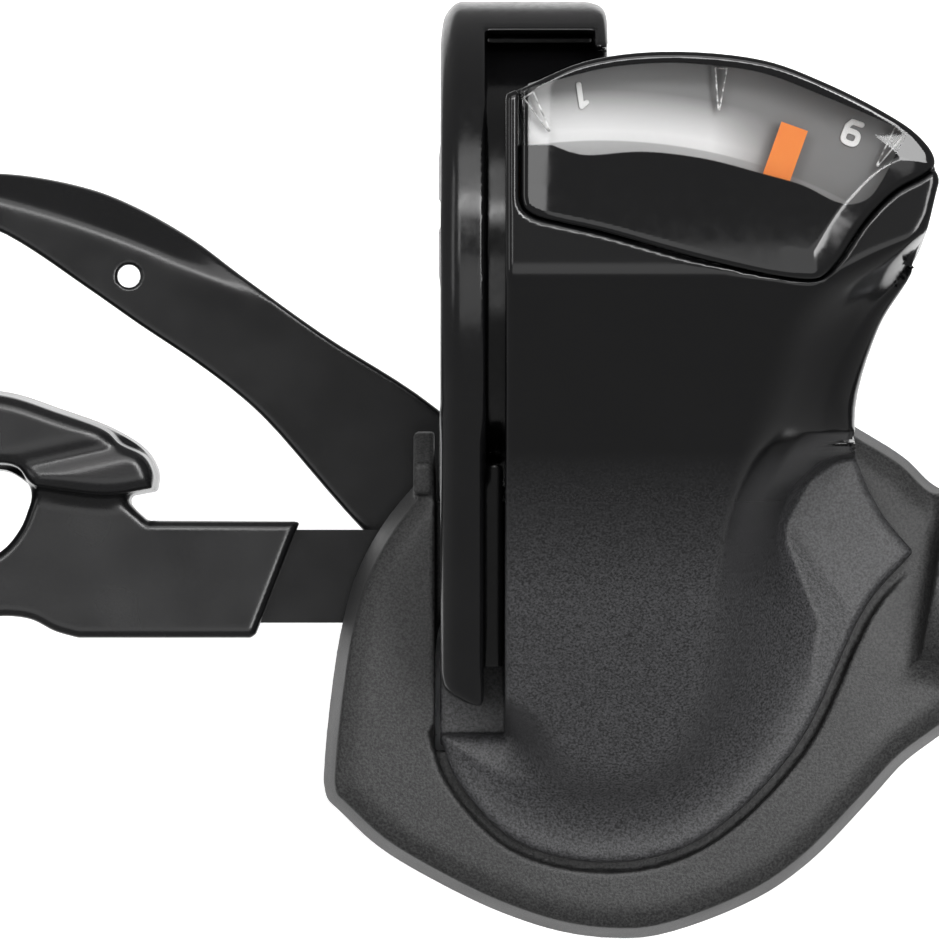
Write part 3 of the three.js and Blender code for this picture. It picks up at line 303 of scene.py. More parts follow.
# %% [markdown]
# ## Finishes
# Nearly everything here is black glass-filled nylon, and what the eye tells apart is the tool's surface:
# polished steel gives gloss, and spark erosion gives a fine pebbled grain. Colours are written as the sRGB
# values that a designer would note, and one function turns them to linear light.

# %% Colour, and one function that adds a node
MIX_FIRST, MIX_SECOND, MIX_RESULT = 6, 7, 2  # the colour sockets of a Mix node


def linear(hex_colour):
    parts = [int(hex_colour[i : i + 2], 16) / 255 for i in (1, 3, 5)]
    return [p / 12.92 if p <= 0.04045 else ((p + 0.055) / 1.055) ** 2.4 for p in parts] + [1]


def add(tree, kind, inputs=None, **settings):
    """Adds a node with its settings; each input is set to a value or linked to a socket."""
    node = tree.nodes.new("ShaderNode" + kind)
    for name, value in settings.items():
        setattr(node, name, value)
    for socket, value in (inputs or {}).items():
        if isinstance(value, bpy.types.NodeSocket):
            tree.links.new(value, node.inputs[socket])
        else:
            node.inputs[socket].default_value = value
    return node


def new_finish(name, **shader_values):
    """An empty material: its tree, its main shader, and the place on the piece in metres."""
    material = bpy.data.materials.new(name)
    material.use_nodes = True
    tree = material.node_tree
    shader = tree.nodes["Principled BSDF"]
    for socket, value in shader_values.items():
        shader.inputs[socket.replace("_", " ")].default_value = value
    place = add(tree, "TexCoord").outputs["Object"]
    return material, tree, shader, place


# %% A finish from three noises
def lumps(place, size, detail=2.0):
    """What a noise is set to, for lumps about that many millimetres across."""
    return {"Vector": place, "Scale": 1 / (size * MM), "Detail": detail, "Roughness": 0.6}


def held(value, start, end, low=0.0, high=1.0):
    """What a Map Range is set to, to turn start..end into low..high."""
    return {"Value": value, "From Min": start, "From Max": end, "To Min": low, "To Max": high}


def speckled(name, tone, gloss=None, relief=None, stretch=(1, 1, 1), **shader_values):
    """Colour, roughness and relief, each led by a noise of a real size.

    tone and gloss are (size in mm, detail, start, end, value at start, value at end).
    relief is (size in mm, detail, depth in mm, strength).
    """
    material, tree, shader, place = new_finish(name, **shader_values)
    place = add(tree, "Mapping", {"Vector": place, "Scale": stretch}).outputs["Vector"]
    size, detail, start, end, dark, light = tone
    noise = add(tree, "TexNoise", lumps(place, size, detail)).outputs["Fac"]
    share = add(tree, "MapRange", held(noise, start, end)).outputs["Result"]
    colours = {0: share, MIX_FIRST: linear(dark), MIX_SECOND: linear(light)}
    mixed = add(tree, "Mix", colours, data_type="RGBA").outputs[MIX_RESULT]
    tree.links.new(mixed, shader.inputs["Base Color"])
    if gloss:
        size, detail, start, end, smooth, rough = gloss
        noise = add(tree, "TexNoise", lumps(place, size, detail)).outputs["Fac"]
        share = add(tree, "MapRange", held(noise, start, end, smooth, rough)).outputs["Result"]
        tree.links.new(share, shader.inputs["Roughness"])
    if relief:
        size, detail, depth, strength = relief
        noise = add(tree, "TexNoise", lumps(place, size, detail)).outputs["Fac"]
        bump = add(tree, "Bump", {"Height": noise, "Distance": depth * MM, "Strength": strength})
        tree.links.new(bump.outputs["Normal"], shader.inputs["Normal"])
    return material


# %% [markdown]
# ### Grained black nylon
# The housing and the tongue round the levers come from a spark-eroded tool. The real pebbles are about 0.1
# mm; they are drawn at 0.14 mm, so that they show as grain and not as noise. Nylon's IOR is 1.53.

# %% Grained nylon
def grained_nylon(name, dark, light, roughness, grain=0.14, depth=0.03):
    tone = (grain, 2, 0.35, 0.65, dark, light)
    gloss = (9.0, 2, 0.3, 0.7, roughness - 0.05, roughness + 0.06)
    return speckled(name, tone, gloss, (grain, 2, depth, 0.8), IOR=1.53)


housing_nylon = grained_nylon("glass_filled_nylon_spark_grained", "#121213", "#393939", 0.52)
floor_nylon = grained_nylon("glass_filled_nylon_floor_grained", "#151516", "#2a2a2b", 0.6, 0.2)
pad_nylon = grained_nylon("nylon_satin_thumb_pad", "#0e0e0f", "#19191a", 0.24, 0.12, 0.006)
barrel_nylon = grained_nylon("nylon_moulded_adjuster_barrel", "#111112", "#1c1c1d", 0.42, 0.14, 0.01)
print("grained nylons:", housing_nylon.name, floor_nylon.name, pad_nylon.name, barrel_nylon.name)

# %% [markdown]
# ### The cover: gloss that fades to grain
# The cover's tool is polished at the display end and spark eroded at the other, with a soft change between,
# and its rim is grained all round. Gloss black gives dark mirror-like reflections; grain spreads the same
# light out to grey.

# %% Cover nylon
def cover_finish():
    material, tree, shader, place = new_finish("glass_filled_nylon_gloss_to_grain", IOR=1.53)
    axes = add(tree, "SeparateXYZ", {"Vector": place}).outputs
    fade = add(tree, "MapRange", held(axes["Y"], -12 * MM, -21 * MM)).outputs["Result"]
    low = add(tree, "MapRange", held(axes["Z"], -5.6 * MM, -6.6 * MM)).outputs["Result"]
    grained = add(tree, "Math", {0: fade, 1: low}, operation="MAXIMUM").outputs[0]
    pebbles = add(tree, "TexNoise", lumps(place, 0.14)).outputs["Fac"]
    share = add(tree, "MapRange", held(pebbles, 0.35, 0.65)).outputs["Result"]
    colours = {0: share, MIX_FIRST: linear("#1a1a1b"), MIX_SECOND: linear("#48484a")}
    grain = add(tree, "Mix", colours, data_type="RGBA").outputs[MIX_RESULT]
    cloud = add(tree, "TexNoise", lumps(place, 6.0)).outputs["Fac"]
    colours = {0: cloud, MIX_FIRST: linear("#09090a"), MIX_SECOND: linear("#0d0d0e")}
    gloss = add(tree, "Mix", colours, data_type="RGBA").outputs[MIX_RESULT]
    tone = add(tree, "Mix", {0: grained, MIX_FIRST: gloss, MIX_SECOND: grain}, data_type="RGBA")
    tree.links.new(tone.outputs[MIX_RESULT], shader.inputs["Base Color"])
    rough = add(tree, "MapRange", held(grained, 0, 1, 0.16, 0.5)).outputs["Result"]
    tree.links.new(rough, shader.inputs["Roughness"])
    strength = add(tree, "MapRange", held(grained, 0, 1, 0.0, 0.8)).outputs["Result"]
    bump = add(tree, "Bump", {"Height": pebbles, "Distance": 0.03 * MM, "Strength": strength})
    tree.links.new(bump.outputs["Normal"], shader.inputs["Normal"])
    return material


cover_nylon = cover_finish()


def gloss_nylon(name, colour, roughness):
    """Black nylon from a polished tool, with the faint long waves that a moulding's skin has."""
    gloss = (0.6, 2, 0.3, 0.7, roughness * 0.8, roughness * 1.3)
    return speckled(name, (5.0, 1, 0, 1, colour, "#121213"), gloss, (5.0, 1, 0.01, 0.3), IOR=1.53)


clamp_gloss = gloss_nylon("glass_filled_nylon_polished_black", "#0b0b0c", 0.2)
needle_black = gloss_nylon("acetal_moulded_black", "#161617", 0.35)
print("cover and clamp finishes made")

# %% [markdown]
# ### Metals
# The levers are stamped steel with a black electro-coat, a thin paint laid on by current, which is satin
# and very slightly orange-peeled. Inside are zinc plated, blackened and bare stampings, a turned brass
# sleeve and an anodised aluminium bush. A metal keeps the shader's own IOR, and its look comes from colour
# and brushing.

# %% Coated and bare metal
def bare_metal(name, dark, light, roughness, stretch=(1, 1, 12)):
    """Fine marks drawn out along one axis, as brushing, drawing or turning leaves them."""
    gloss = (0.8, 4, 0.3, 0.7, roughness - 0.08, roughness + 0.1)
    return speckled(name, (0.8, 4, 0, 1, dark, light), gloss, (0.8, 4, 0.004, 0.5), stretch, Metallic=1.0)


def acetal(name, dark, light):
    """Natural acetal: waxy white, letting a little light in."""
    tone, gloss = (2.5, 2, 0, 1, dark, light), (2.5, 2, 0.3, 0.7, 0.38, 0.52)
    waxy = {"Subsurface_Weight": 0.15, "Subsurface_Scale": 1 * MM}
    return speckled(name, tone, gloss, (0.3, 2, 0.004, 0.4), IOR=1.48, **waxy)


lever_steel = speckled(
    "stamped_steel_black_electro_coated", (0.3, 2, 0, 1, "#0c0c0d", "#131314"),
    (4.0, 2, 0.3, 0.7, 0.19, 0.25), (0.3, 2, 0.006, 0.6), IOR=1.5,
)
finishes = {
    "clamp_black": clamp_gloss,
    "cover_nylon": cover_nylon,
    "housing_nylon": housing_nylon,
    "floor_nylon": floor_nylon,
    "needle_black": needle_black,
    "bolt_steel": bare_metal("zinc_plated_steel_turned", "#8d8e90", "#b9babc", 0.3),
    "screw_steel": bare_metal("blackened_steel_screw", "#3a3a3c", "#58585a", 0.38),
    "plate_steel": bare_metal("stamped_steel_bare", "#8a8b8e", "#adaeb0", 0.36, (14, 1, 1)),
    "lever_steel": lever_steel,
    "spring_steel": bare_metal("spring_steel_drawn_wire", "#6c6d70", "#8c8d90", 0.32),
    "bush_brass": bare_metal("turned_brass_sleeve", "#b08d4a", "#cfae6b", 0.3),
    "bush_acetal": acetal("natural_acetal_bush", "#dcd8cc", "#e8e5da"),
    "drum_acetal": acetal("natural_acetal_drum", "#cfcdc4", "#dddbd2"),
    "bushing_aluminium": bare_metal("anodised_aluminium_turned", "#97989b", "#b3b4b7", 0.34),
    "pad_nylon": pad_nylon,
    "barrel_nylon": barrel_nylon,
}
print(len(finishes), "finishes so far")

# %% [markdown]
# ### Window, dial and needle
# The display lens is one clear polycarbonate moulding, IOR 1.585. Below and beside the window its back is
# painted black, so it looks like black glass. The dial under it is printed mid grey at the top arc, with a
# pale band low down; its colour also carries painted light: a white patch low on the left, grey that darkens
# to the right, and a band that lightens to the left. The orange flag is moulded in coloured ABS, and the
# numbers are thick white ink.

# %% Lens finish
def lens_finish():
    material, tree, shader, place = new_finish("polycarbonate_clear_back_painted", IOR=1.585)
    waves = add(tree, "TexNoise", lumps(place, 7.0, 1.0)).outputs["Fac"]
    colours = {0: waves, MIX_FIRST: linear("#09090a"), MIX_SECOND: linear("#0e0e0f")}
    paint = add(tree, "Mix", colours, data_type="RGBA").outputs[MIX_RESULT]
    tree.links.new(paint, shader.inputs["Base Color"])
    fine = add(tree, "TexNoise", lumps(place, 0.8)).outputs["Fac"]
    rough = add(tree, "MapRange", held(fine, 0.3, 0.7, 0.05, 0.09)).outputs["Result"]
    tree.links.new(rough, shader.inputs["Roughness"])
    clear = add(tree, "BsdfTransparent", {"Color": linear("#fcfcfc")}).outputs[0]
    gloss = add(tree, "BsdfGlossy", {"Roughness": 0.06, "Color": linear("#ffffff")}).outputs[0]
    front = add(tree, "Attribute", attribute_name="front_gloss").outputs["Fac"]
    fresnel = add(tree, "Fresnel", {"IOR": 1.585}).outputs[0]
    facing = add(tree, "Math", {0: fresnel, 1: front}, operation="MULTIPLY").outputs[0]
    glass = add(tree, "MixShader", {0: facing, 1: clear, 2: gloss}).outputs[0]
    edge = add(tree, "Attribute", attribute_name="inside_window").outputs["Fac"]
    painted = add(tree, "MapRange", held(edge, -0.04, 0.04, 1, 0)).outputs["Result"]
    mix = add(tree, "MixShader", {0: painted, 1: glass, 2: shader.outputs[0]})
    tree.links.new(mix.outputs[0], tree.nodes["Material Output"].inputs["Surface"])
    return material


# %% Dial finish
def dial_finish():
    material, tree, shader, place = new_finish("printed_polyester_dial_with_painted_light", IOR=1.5, Roughness=0.5)
    axle = (AXLE_X * MM, AXLE_Y * MM, 0)
    centred = add(tree, "VectorMath", {0: place, 1: axle}, operation="SUBTRACT").outputs[0]
    axes = add(tree, "SeparateXYZ", {"Vector": centred}).outputs
    flat = add(tree, "CombineXYZ", {"X": axes["X"], "Y": axes["Y"]}).outputs[0]
    radius = add(tree, "VectorMath", {0: flat}, operation="LENGTH").outputs["Value"]
    # Painted light: these two ramps make the white patch low on the left, which stands for light and
    # reflection on the dial and is not print.
    painted_light_inward = add(tree, "MapRange", held(radius, 31.6 * MM, 34.0 * MM, 1, 0)).outputs["Result"]
    painted_light_leftward = add(tree, "MapRange", held(axes["X"], 6.5 * MM, 10.5 * MM, 1, 0)).outputs["Result"]
    across = add(tree, "MapRange", held(axes["X"], -3 * MM, 17 * MM)).outputs["Result"]
    band = add(tree, "MapRange", held(radius, 30.95 * MM, 31.05 * MM, 1, 0)).outputs["Result"]
    white = add(tree, "Math", {0: painted_light_inward, 1: painted_light_leftward}, operation="MULTIPLY").outputs[0]
    ink = add(tree, "TexNoise", lumps(place, 0.1)).outputs["Fac"]
    bare = add(tree, "MapRange", held(ink, 0, 1, 0, 0.12)).outputs["Result"]
    # Painted shade: the grey darkens from left to right, and the low band lightens to the left with the same
    # painted light; the grey and the band themselves are print.
    colours = {0: across, MIX_FIRST: linear("#868686"), MIX_SECOND: linear("#767676")}
    sides = add(tree, "Mix", colours, data_type="RGBA").outputs[MIX_RESULT]
    colours = {0: white, MIX_FIRST: sides, MIX_SECOND: linear("#ffffff")}
    arc = add(tree, "Mix", colours, data_type="RGBA").outputs[MIX_RESULT]
    colours = {0: painted_light_leftward, MIX_FIRST: linear("#8f8f8f"), MIX_SECOND: linear("#c9c9c9")}
    low_band = add(tree, "Mix", colours, data_type="RGBA").outputs[MIX_RESULT]
    colours = {0: band, MIX_FIRST: arc, MIX_SECOND: low_band}
    face = add(tree, "Mix", colours, data_type="RGBA").outputs[MIX_RESULT]
    colours = {0: bare, MIX_FIRST: face, MIX_SECOND: linear("#555554")}
    tone = add(tree, "Mix", colours, data_type="RGBA").outputs[MIX_RESULT]
    tree.links.new(tone, shader.inputs["Base Color"])
    bump = add(tree, "Bump", {"Height": ink, "Distance": 0.003 * MM, "Strength": 0.4})
    tree.links.new(bump.outputs["Normal"], shader.inputs["Normal"])
    return material


# %% Flag and ink
finishes["lens_clear"] = lens_finish()
finishes["dial_face"] = dial_finish()
finishes["needle_orange"] = speckled(
    "abs_moulded_orange", (1.2, 2, 0, 1, "#fb820c", "#ff8c1a"), relief=(0.25, 2, 0.003, 0.4),
    IOR=1.54, Roughness=0.45,
)
numeral_ink = speckled(
    "screen_print_white", (0.08, 2, 0, 1, "#e9e9e7", "#ffffff"), IOR=1.5, Roughness=0.45,
)
print(len(finishes), "finishes, one for each slot of the record")

# %% [markdown]
# ## The cover
# A tower stands over the bar and carries the display, and a smooth ridge slopes down from it between
# concave flanks into a flat tongue. The ridge's outline and the cover's outline are drawn once; the height
# between them falls off in a curve, which is how such a surface is lofted in a mould drawing.

# %% Cover outlines
COVER = outline(
    (COVER_LEFT, 9),
    [(COVER_LEFT, -28.9)],
    [(-5, -28.9)],
    [(-4.1, -31.5), (-0.5, -35.3), (5.1, -36.6), (10.4, -35.3), (16.25, -29.8), (20.6, -21.1), (23.4, -18)],
    [(21.2, -15.2), (19.6, -10.4), (20.9, -4.8), (23, -1.2), (24.4, 3.9)],
    [(23.9, 5.8)],
    [(21.2, 7.9), (17.6, 9.7), (14, 11), (8.1, 11.5), (3.5, 10.9), (COVER_LEFT, 9)],
)
RIDGE = outline(
    (COVER_LEFT - 4, 14),
    [(COVER_LEFT - 4, -27)],
    [(0.3, -28.4), (2.2, -30.8), (5.1, -31.7), (8.4, -30.7), (10.5, -26.8), (11.5, -20.8), (13.7, -12)],
    [(14.8, -8.2), (16.4, -4.4), (19.5, -1.8), (23, -0.4), (26.5, 0.6)],
    [(26.5, 14)],
)
LENS = outline(
    (-0.25, 9.3),
    [(-0.25, 2.9)],
    [(-0.05, 2.3), (0.6, 1.85), (2.2, 1.45), (4.5, 0.95), (10.5, -0.7), (15.8, -1.8), (17.3, -1.8),
     (18.2, -1.1), (20, 1.5), (21.8, 3.3), (23.6, 4.3), (24.1, 4.8), (24.0, 5.5), (23, 6.7), (21.2, 7.9),
     (17.6, 9.7), (14, 11), (8.1, 11.5), (3.5, 10.9), (-0.25, 9.3)],
)
print("cover", COVER.min(0).round(1), COVER.max(0).round(1))

# %% Cover height
SLOPE = math.radians(36)
FACE_DISTANCE = 16.05  # from the bar's axis to the sloping face
DISPLAY_LEVEL = LENS_TOP - 0.8
SHOULDER = 1.1  # softness of the ridge's edge


CREASE = (16.4, -16.8), (0.819, 0.574)  # a point on the crease, and the way square to it
FLANK_FOOT = (19.5, -11.7), (0.854, -0.519)
FALL = 0.18  # how far the facet falls for each millimetre beyond the crease


def past_line(line, x, y):
    (at_x, at_y), (way_x, way_y) = line
    return (x - at_x) * way_x + (y - at_y) * way_y


def cable_side_fall(x, y):
    """Beyond a crease on the cable side, the cover and the housing fall away in one flat facet."""
    past = past_line(CREASE, x, y)
    return FALL * (past + np.sqrt(past**2 + 0.02)) / 2


def beside_facet(x, y):
    """Distance from that facet, which ends at the foot of the tower's flank."""
    return np.hypot(np.minimum(past_line(CREASE, x, y), 0), np.minimum(past_line(FLANK_FOOT, x, y), 0))


def mound_over_bar(y):
    """Follows the bar's round, and from near its side runs straight down."""
    reach = np.minimum(np.abs(y), 0.95 * CHANNEL_RADIUS)
    height = np.sqrt(CHANNEL_RADIUS**2 - reach**2)
    return height - (np.abs(y) - reach) * reach / height + 1.4


def cover_height(x, y):
    ridge = soft_min((FACE_DISTANCE + math.sin(SLOPE) * y) / math.cos(SLOPE), DISPLAY_LEVEL, 0.5)
    beside = beside_facet(x, y)
    cut_back = 13 * np.clip(1 - beside / 3, 0, 1) * np.clip((-10.9 - y) / 1.6, 0, 1)
    foot = soft_max(TONGUE_TOP - cable_side_fall(x, y), mound_over_bar(y) - cut_back, 2)
    from_ridge = np.maximum(signed_distance(RIDGE, x, y), -SHOULDER)
    away = np.where(from_ridge < SHOULDER, (from_ridge + SHOULDER) ** 2 / (4 * SHOULDER), from_ridge)
    left = np.minimum(np.maximum(-signed_distance(COVER, x, y), 0), beside)
    share = away / (away + left + 0.3)
    sunk = 0.9 * np.clip(1 - beside / 5, 0, 1)
    return np.maximum(foot, foot - sunk + np.maximum(ridge - foot + sunk, 0) * (1 - share) ** 2.4)


def over(height, x, y, z):
    """Distance above a height surface, allowing for its slope."""
    step = 0.05
    slope_x = (height(x + step, y) - height(x - step, y)) / (2 * step)
    slope_y = (height(x, y + step) - height(x, y - step)) / (2 * step)
    return (z - height(x, y)) / np.sqrt(1 + np.minimum(slope_x**2 + slope_y**2, 9))


def bar_gap(x, y, z, bar, band, channel):
    """The room that the bar and the clamp take from a moulding."""
    from_axis = np.hypot(y, z)
    beside = np.maximum(x - BAND_RIGHT - 0.3, BAND_LEFT - 0.3 - x)
    low_band = np.maximum(from_axis - band, np.maximum(z + 3.7, y))
    return np.minimum(from_axis - bar, np.maximum(beside, np.minimum(from_axis - channel, low_band)))


LEG_BOX = [(BAND_LEFT - 0.3, AXLE_Y + 9.7, -60), (2.3, -8, 0)]


def cover_field(x, y, z):
    edge = signed_distance(COVER, x, y)
    top = over(cover_height, x, y, z)
    right_flank = np.clip((x - 16) / 3, 0, 1) * np.clip((y + 12) / 3, 0, 1) * np.clip((2 - y) / 3, 0, 1)
    outer = common(common(edge, top, 0.45 + 1.1 * right_flank), TONGUE_BOTTOM - z, 0.15)
    hollow = common(edge + 1.4, top + 1.4, 0.3)
    shell = without(outer, hollow)
    from_axle = np.hypot(x - AXLE_X, y - AXLE_Y)
    deck = np.maximum(np.maximum(edge + 0.2, 29.8 - from_axle), np.abs(z - LENS_BOTTOM + 1.2) - 0.9)
    shell = np.minimum(shell, deck)
    lens_edge = signed_distance(LENS, x, y)
    # a ledge under the lens's edge carries it and keeps light out of the tower
    ledge = np.maximum(np.maximum(lens_edge - 0.6, -0.8 - lens_edge), np.abs(z - LENS_BOTTOM + 0.52) - 0.23)
    shell = np.minimum(shell, np.maximum(ledge, edge + 0.2))
    shelf_low = (BAND_LEFT, -29.6, TONGUE_BOTTOM - 0.5)
    shelf_high = (COVER_LEFT + 1, -14.7, TONGUE_BOTTOM + 0.1)
    shell = np.minimum(shell, block(x, y, z, shelf_low, shelf_high))
    pocket = np.maximum(lens_edge - 0.08, LENS_BOTTOM - 0.3 - z)
    shell = without(shell, pocket, 0.25)
    gap = bar_gap(x, y, z, BAR_RADIUS + 0.4, BAND_RADIUS + 0.3, CHANNEL_RADIUS + 0.3)
    shell = without(shell, gap, 0.1)
    shell = without(shell, np.maximum(-y, z - 3))
    return without(shell, block(x, y, z, *LEG_BOX))


cover = skin("cover_moulding", cover_field, (-5.6, -37.2, -9.6), (25, 12.2, 19.2), 0.22)
take_place(cover, "top_cover", "housing", cover_nylon)

# %% [markdown]
# ## The housing
# The shell under the cover carries the mechanism. Its wall is drafted so that it leaves the mould, its top
# edge has a plain chamfer, and a recess takes the cover's tongue with a thin shadow gap all round. On the
# right it runs out into a round nose where the cable leaves.

# %% Housing outline and nose
CABLE_ANGLE = math.radians(-10)
NOSE_X = 30.4
DRUM_REACH = 8.1  # the cable leaves the drum this far from the axle
CABLE_Y = AXLE_Y + DRUM_REACH / math.cos(CABLE_ANGLE) + math.tan(CABLE_ANGLE) * (NOSE_X - AXLE_X)
NOSE = np.array([NOSE_X, CABLE_Y])
NOSE_Z = (box_of("cable_drum")[0][2] + box_of("cable_drum")[1][2]) / 2
WAY = np.array([math.cos(CABLE_ANGLE), math.sin(CABLE_ANGLE)])
ACROSS = np.array([-WAY[1], WAY[0]])
HOUSING = outline(
    (-5.4, -13.2),
    [(-8, -16.3), (-9.7, -19.4), (-10.65, -22.8), (-11.25, -26.7), (-11.6, -30.1), (-11.7, -31.8)],
    [(-11.5, -32.7), (-11, -33.2)],
    [(-8.5, -35.5), (-4.8, -37.7), (-1.2, -39.4), (2.2, -40.5), (5.1, -40.9), (8, -40.75), (13.8, -38.6),
     (17, -36.4), (20.6, -32.7), (22.6, -30.5), (24.7, -28.9)],
    [tuple(NOSE - 4.5 * ACROSS)],
    [tuple(NOSE + 4.5 * ACROSS)],
    [(24.7, -14.4), (22.7, -12.6), (19.5, -10.6)],
    [(16, -10.2)],
)
DRAFT = 0.8
CHAMFER = 0.9
FLANGE = 0.35  # the rim stands this far outside the outline


def house_top(x, y):
    dome = 0.0028 * np.minimum((x - AXLE_X) ** 2 + (y - AXLE_Y) ** 2, 480)
    return HOUSING_TOP - dome - 0.5 * cable_side_fall(x, y)


def along_cable(x, y, z):
    """Distance along the cable from the nose, and away from its line."""
    along = (x - NOSE[0]) * WAY[0] + (y - NOSE[1]) * WAY[1]
    beside = (x - NOSE[0]) * ACROSS[0] + (y - NOSE[1]) * ACROSS[1]
    return along, np.hypot(beside, z - NOSE_Z)


SCREWS = [centre_of(f"cover_screw_{i}")[:2] for i in (1, 2, 3)]


def turned_angle(x, y):
    return np.degrees(np.arctan2(y - AXLE_Y, x - AXLE_X)) % 360


def housing_field(x, y, z):
    edge = signed_distance(HOUSING, x, y) - FLANGE
    top = z - house_top(x, y)
    side = edge + DRAFT * (z - RIM) / (HOUSING_TOP - CHAMFER - RIM)
    chamfer = (edge + DRAFT + CHAMFER) * 0.5 + top * 0.866
    outer = common(common(common(side, chamfer, 0.12), top, 0.25), RIM - z, 0.15)
    along, away = along_cable(x, y, z)
    nose = common(np.maximum(away - 5.6, -6 - along), along - 0.3, 0.8)
    outer = joined(outer, nose, 1.2)
    cover_edge = signed_distance(COVER, x, y)
    recess = common(cover_edge - 0.6, TONGUE_BOTTOM - 0.3 - z, 0.1)
    recess = np.maximum(recess, -block(x, y, z, (-20, -28, -60), (COVER_LEFT - 0.8, 20, 60)))
    shell = without(outer, recess, 0.1)
    shell = without(shell, common(edge + 2.9, top + 3.0, 0.5))
    shell = without(shell, cover_edge + 1.6)
    for place in SCREWS:
        shell = np.minimum(shell, pin(x, y, z, place, 1.8, RIM, TONGUE_BOTTOM - 0.3))
        shell = without(shell, pin(x, y, z, place, 1.2, -60, TONGUE_BOTTOM - 0.5))
    shell = without(shell, block(x, y, z, *LEG_BOX))
    arm_room = block(x, y, z, (BAND_LEFT - 0.3, AXLE_Y - 5.2, TONGUE_BOTTOM - 1.2), (COVER_LEFT + 1.3, 5, 10))
    shell = without(shell, arm_room, 0.12)
    stop = block(x, y, z, (BAND_LEFT - 1.6, -14.6, RIM + 1), (BAND_LEFT - 0.35, -10.8, HOUSING_TOP - 0.4))
    shell = joined(shell, common(stop, z - HOUSING_TOP + 0.6, 0.2), 0.2)
    shell = without(shell, np.hypot(y, z) - BAND_RADIUS - 0.4, 0.1)
    from_axle = np.hypot(x - AXLE_X, y - AXLE_Y)
    shell = without(shell, np.maximum(from_axle - 9.8, z - TONGUE_BOTTOM + 0.2))
    sweep = np.maximum(np.abs(from_axle - 11.1) - 2.5, z - TONGUE_BOTTOM + 1.3)
    angle = turned_angle(x, y)
    shell = without(shell, np.maximum(sweep, np.where((angle > 186) & (angle < 275), -1.0, 1.0)))
    shell = without(shell, np.maximum(away - 1.6, -24 - along))
    return without(shell, np.maximum(away - 3.9, -5.3 - along), 0.2)


housing = skin("housing_moulding", housing_field, (-12.2, -41.6, -17.3), (31.8, -9.8, -5.4), 0.2)
take_place(housing, "base_housing", "housing", housing_nylon)

# %% [markdown]
# ## The floor under the levers
# A second moulding closes the underside. It is a shallow tray, open on the left where the levers come out.

# %% Floor tray
FLOOR_BOTTOM = box_of("bottom_cover")[0][2]
FLOOR_TOP = FLOOR_BOTTOM + 1.8
WALL_TOP = box_of("bottom_cover")[1][2]


def floor_field(x, y, z):
    edge = signed_distance(HOUSING, x, y) + 1.4
    tray = common(common(edge, FLOOR_BOTTOM - z, 0.9), z - WALL_TOP, 0.2)
    tray = without(tray, common(np.maximum(edge + 1.5, x - NOSE[0] + 4.5), FLOOR_TOP - z, 0.5))
    angle = (turned_angle(x, y) + 180) % 360 - 180
    open_side = np.maximum(FLOOR_TOP - z, np.where(np.abs(angle) > 92, -1.0, 1.0) * 0.2)
    tray = without(tray, open_side)
    from_axle = np.hypot(x - AXLE_X, y - AXLE_Y)
    tray = without(tray, from_axle - 2.8)
    swirl = np.abs(np.abs(from_axle - 9) - 2.2) - 0.25
    tray = without(tray, np.maximum(swirl, z - FLOOR_BOTTOM - 0.35), 0.1)
    tray = without(tray, np.hypot(y, z) - BAND_RADIUS - 0.4, 0.2)
    along, away = along_cable(x, y, z)
    tray = without(tray, np.maximum(away - 6.6, -20 - along), 0.2)
    return without(tray, NOSE[0] - 3 - x)


tray = skin("floor_tray", floor_field, (-10.8, -40, FLOOR_BOTTOM - 0.5), (28, -10.6, WALL_TOP + 0.5), 0.22)
take_place(tray, "bottom_cover", "housing", floor_nylon)

# %% [markdown]
# ## The clamp bracket
# One gloss moulding: a band round the bar with a raised rim on each side, an arm that carries the rim
# straight down the left of the cover, a leg into the housing, and two lugs that the bolt pulls together
# under the bar.

# %% Clamp bracket
ARM_END = -AXLE_Y + 2.6
ARM_SIDE = np.array([
    (-math.sin(SLOPE) * BAND_RADIUS, math.cos(SLOPE) * BAND_RADIUS),
    (-ARM_END, (BAND_RADIUS - math.sin(SLOPE) * ARM_END) / math.cos(SLOPE)),
    (-ARM_END + 0.2, TONGUE_BOTTOM + 0.4),
    (-BAND_RADIUS, TONGUE_BOTTOM + 0.4),
    (-BAR_RADIUS - 1, -2),
    (-BAR_RADIUS + 1.6, BAR_RADIUS - 1.8),
])
ARM_TOP = outline(
    (BAND_LEFT, 12),
    [(BAND_LEFT, -ARM_END + 2.1)],
    [(-4.75, -ARM_END + 1.2), (-4.2, -ARM_END + 0.75)],
    [(ARM_RIGHT - 0.5, -ARM_END + 0.05), (ARM_RIGHT - 0.1, -ARM_END + 0.05), (ARM_RIGHT, -ARM_END + 0.4)],
    [(ARM_RIGHT, 12)],
)
BAND_PLAN = outline(
    (BAND_LEFT - 0.2, -40),
    [(BAND_LEFT - 0.2, 12)],
    [(-4.9, 13.4), (-4.5, 14.4), (-3.9, 14.95)],
    [(3.7, 14.95)],
    [(4.4, 14.6), (4.9, 14.1), (5.1, 13.5)],
    [(BAND_RIGHT + 0.2, 12)],
    [(BAND_RIGHT + 0.2, -40)],
)
LUG_ANGLE = math.radians(-80)


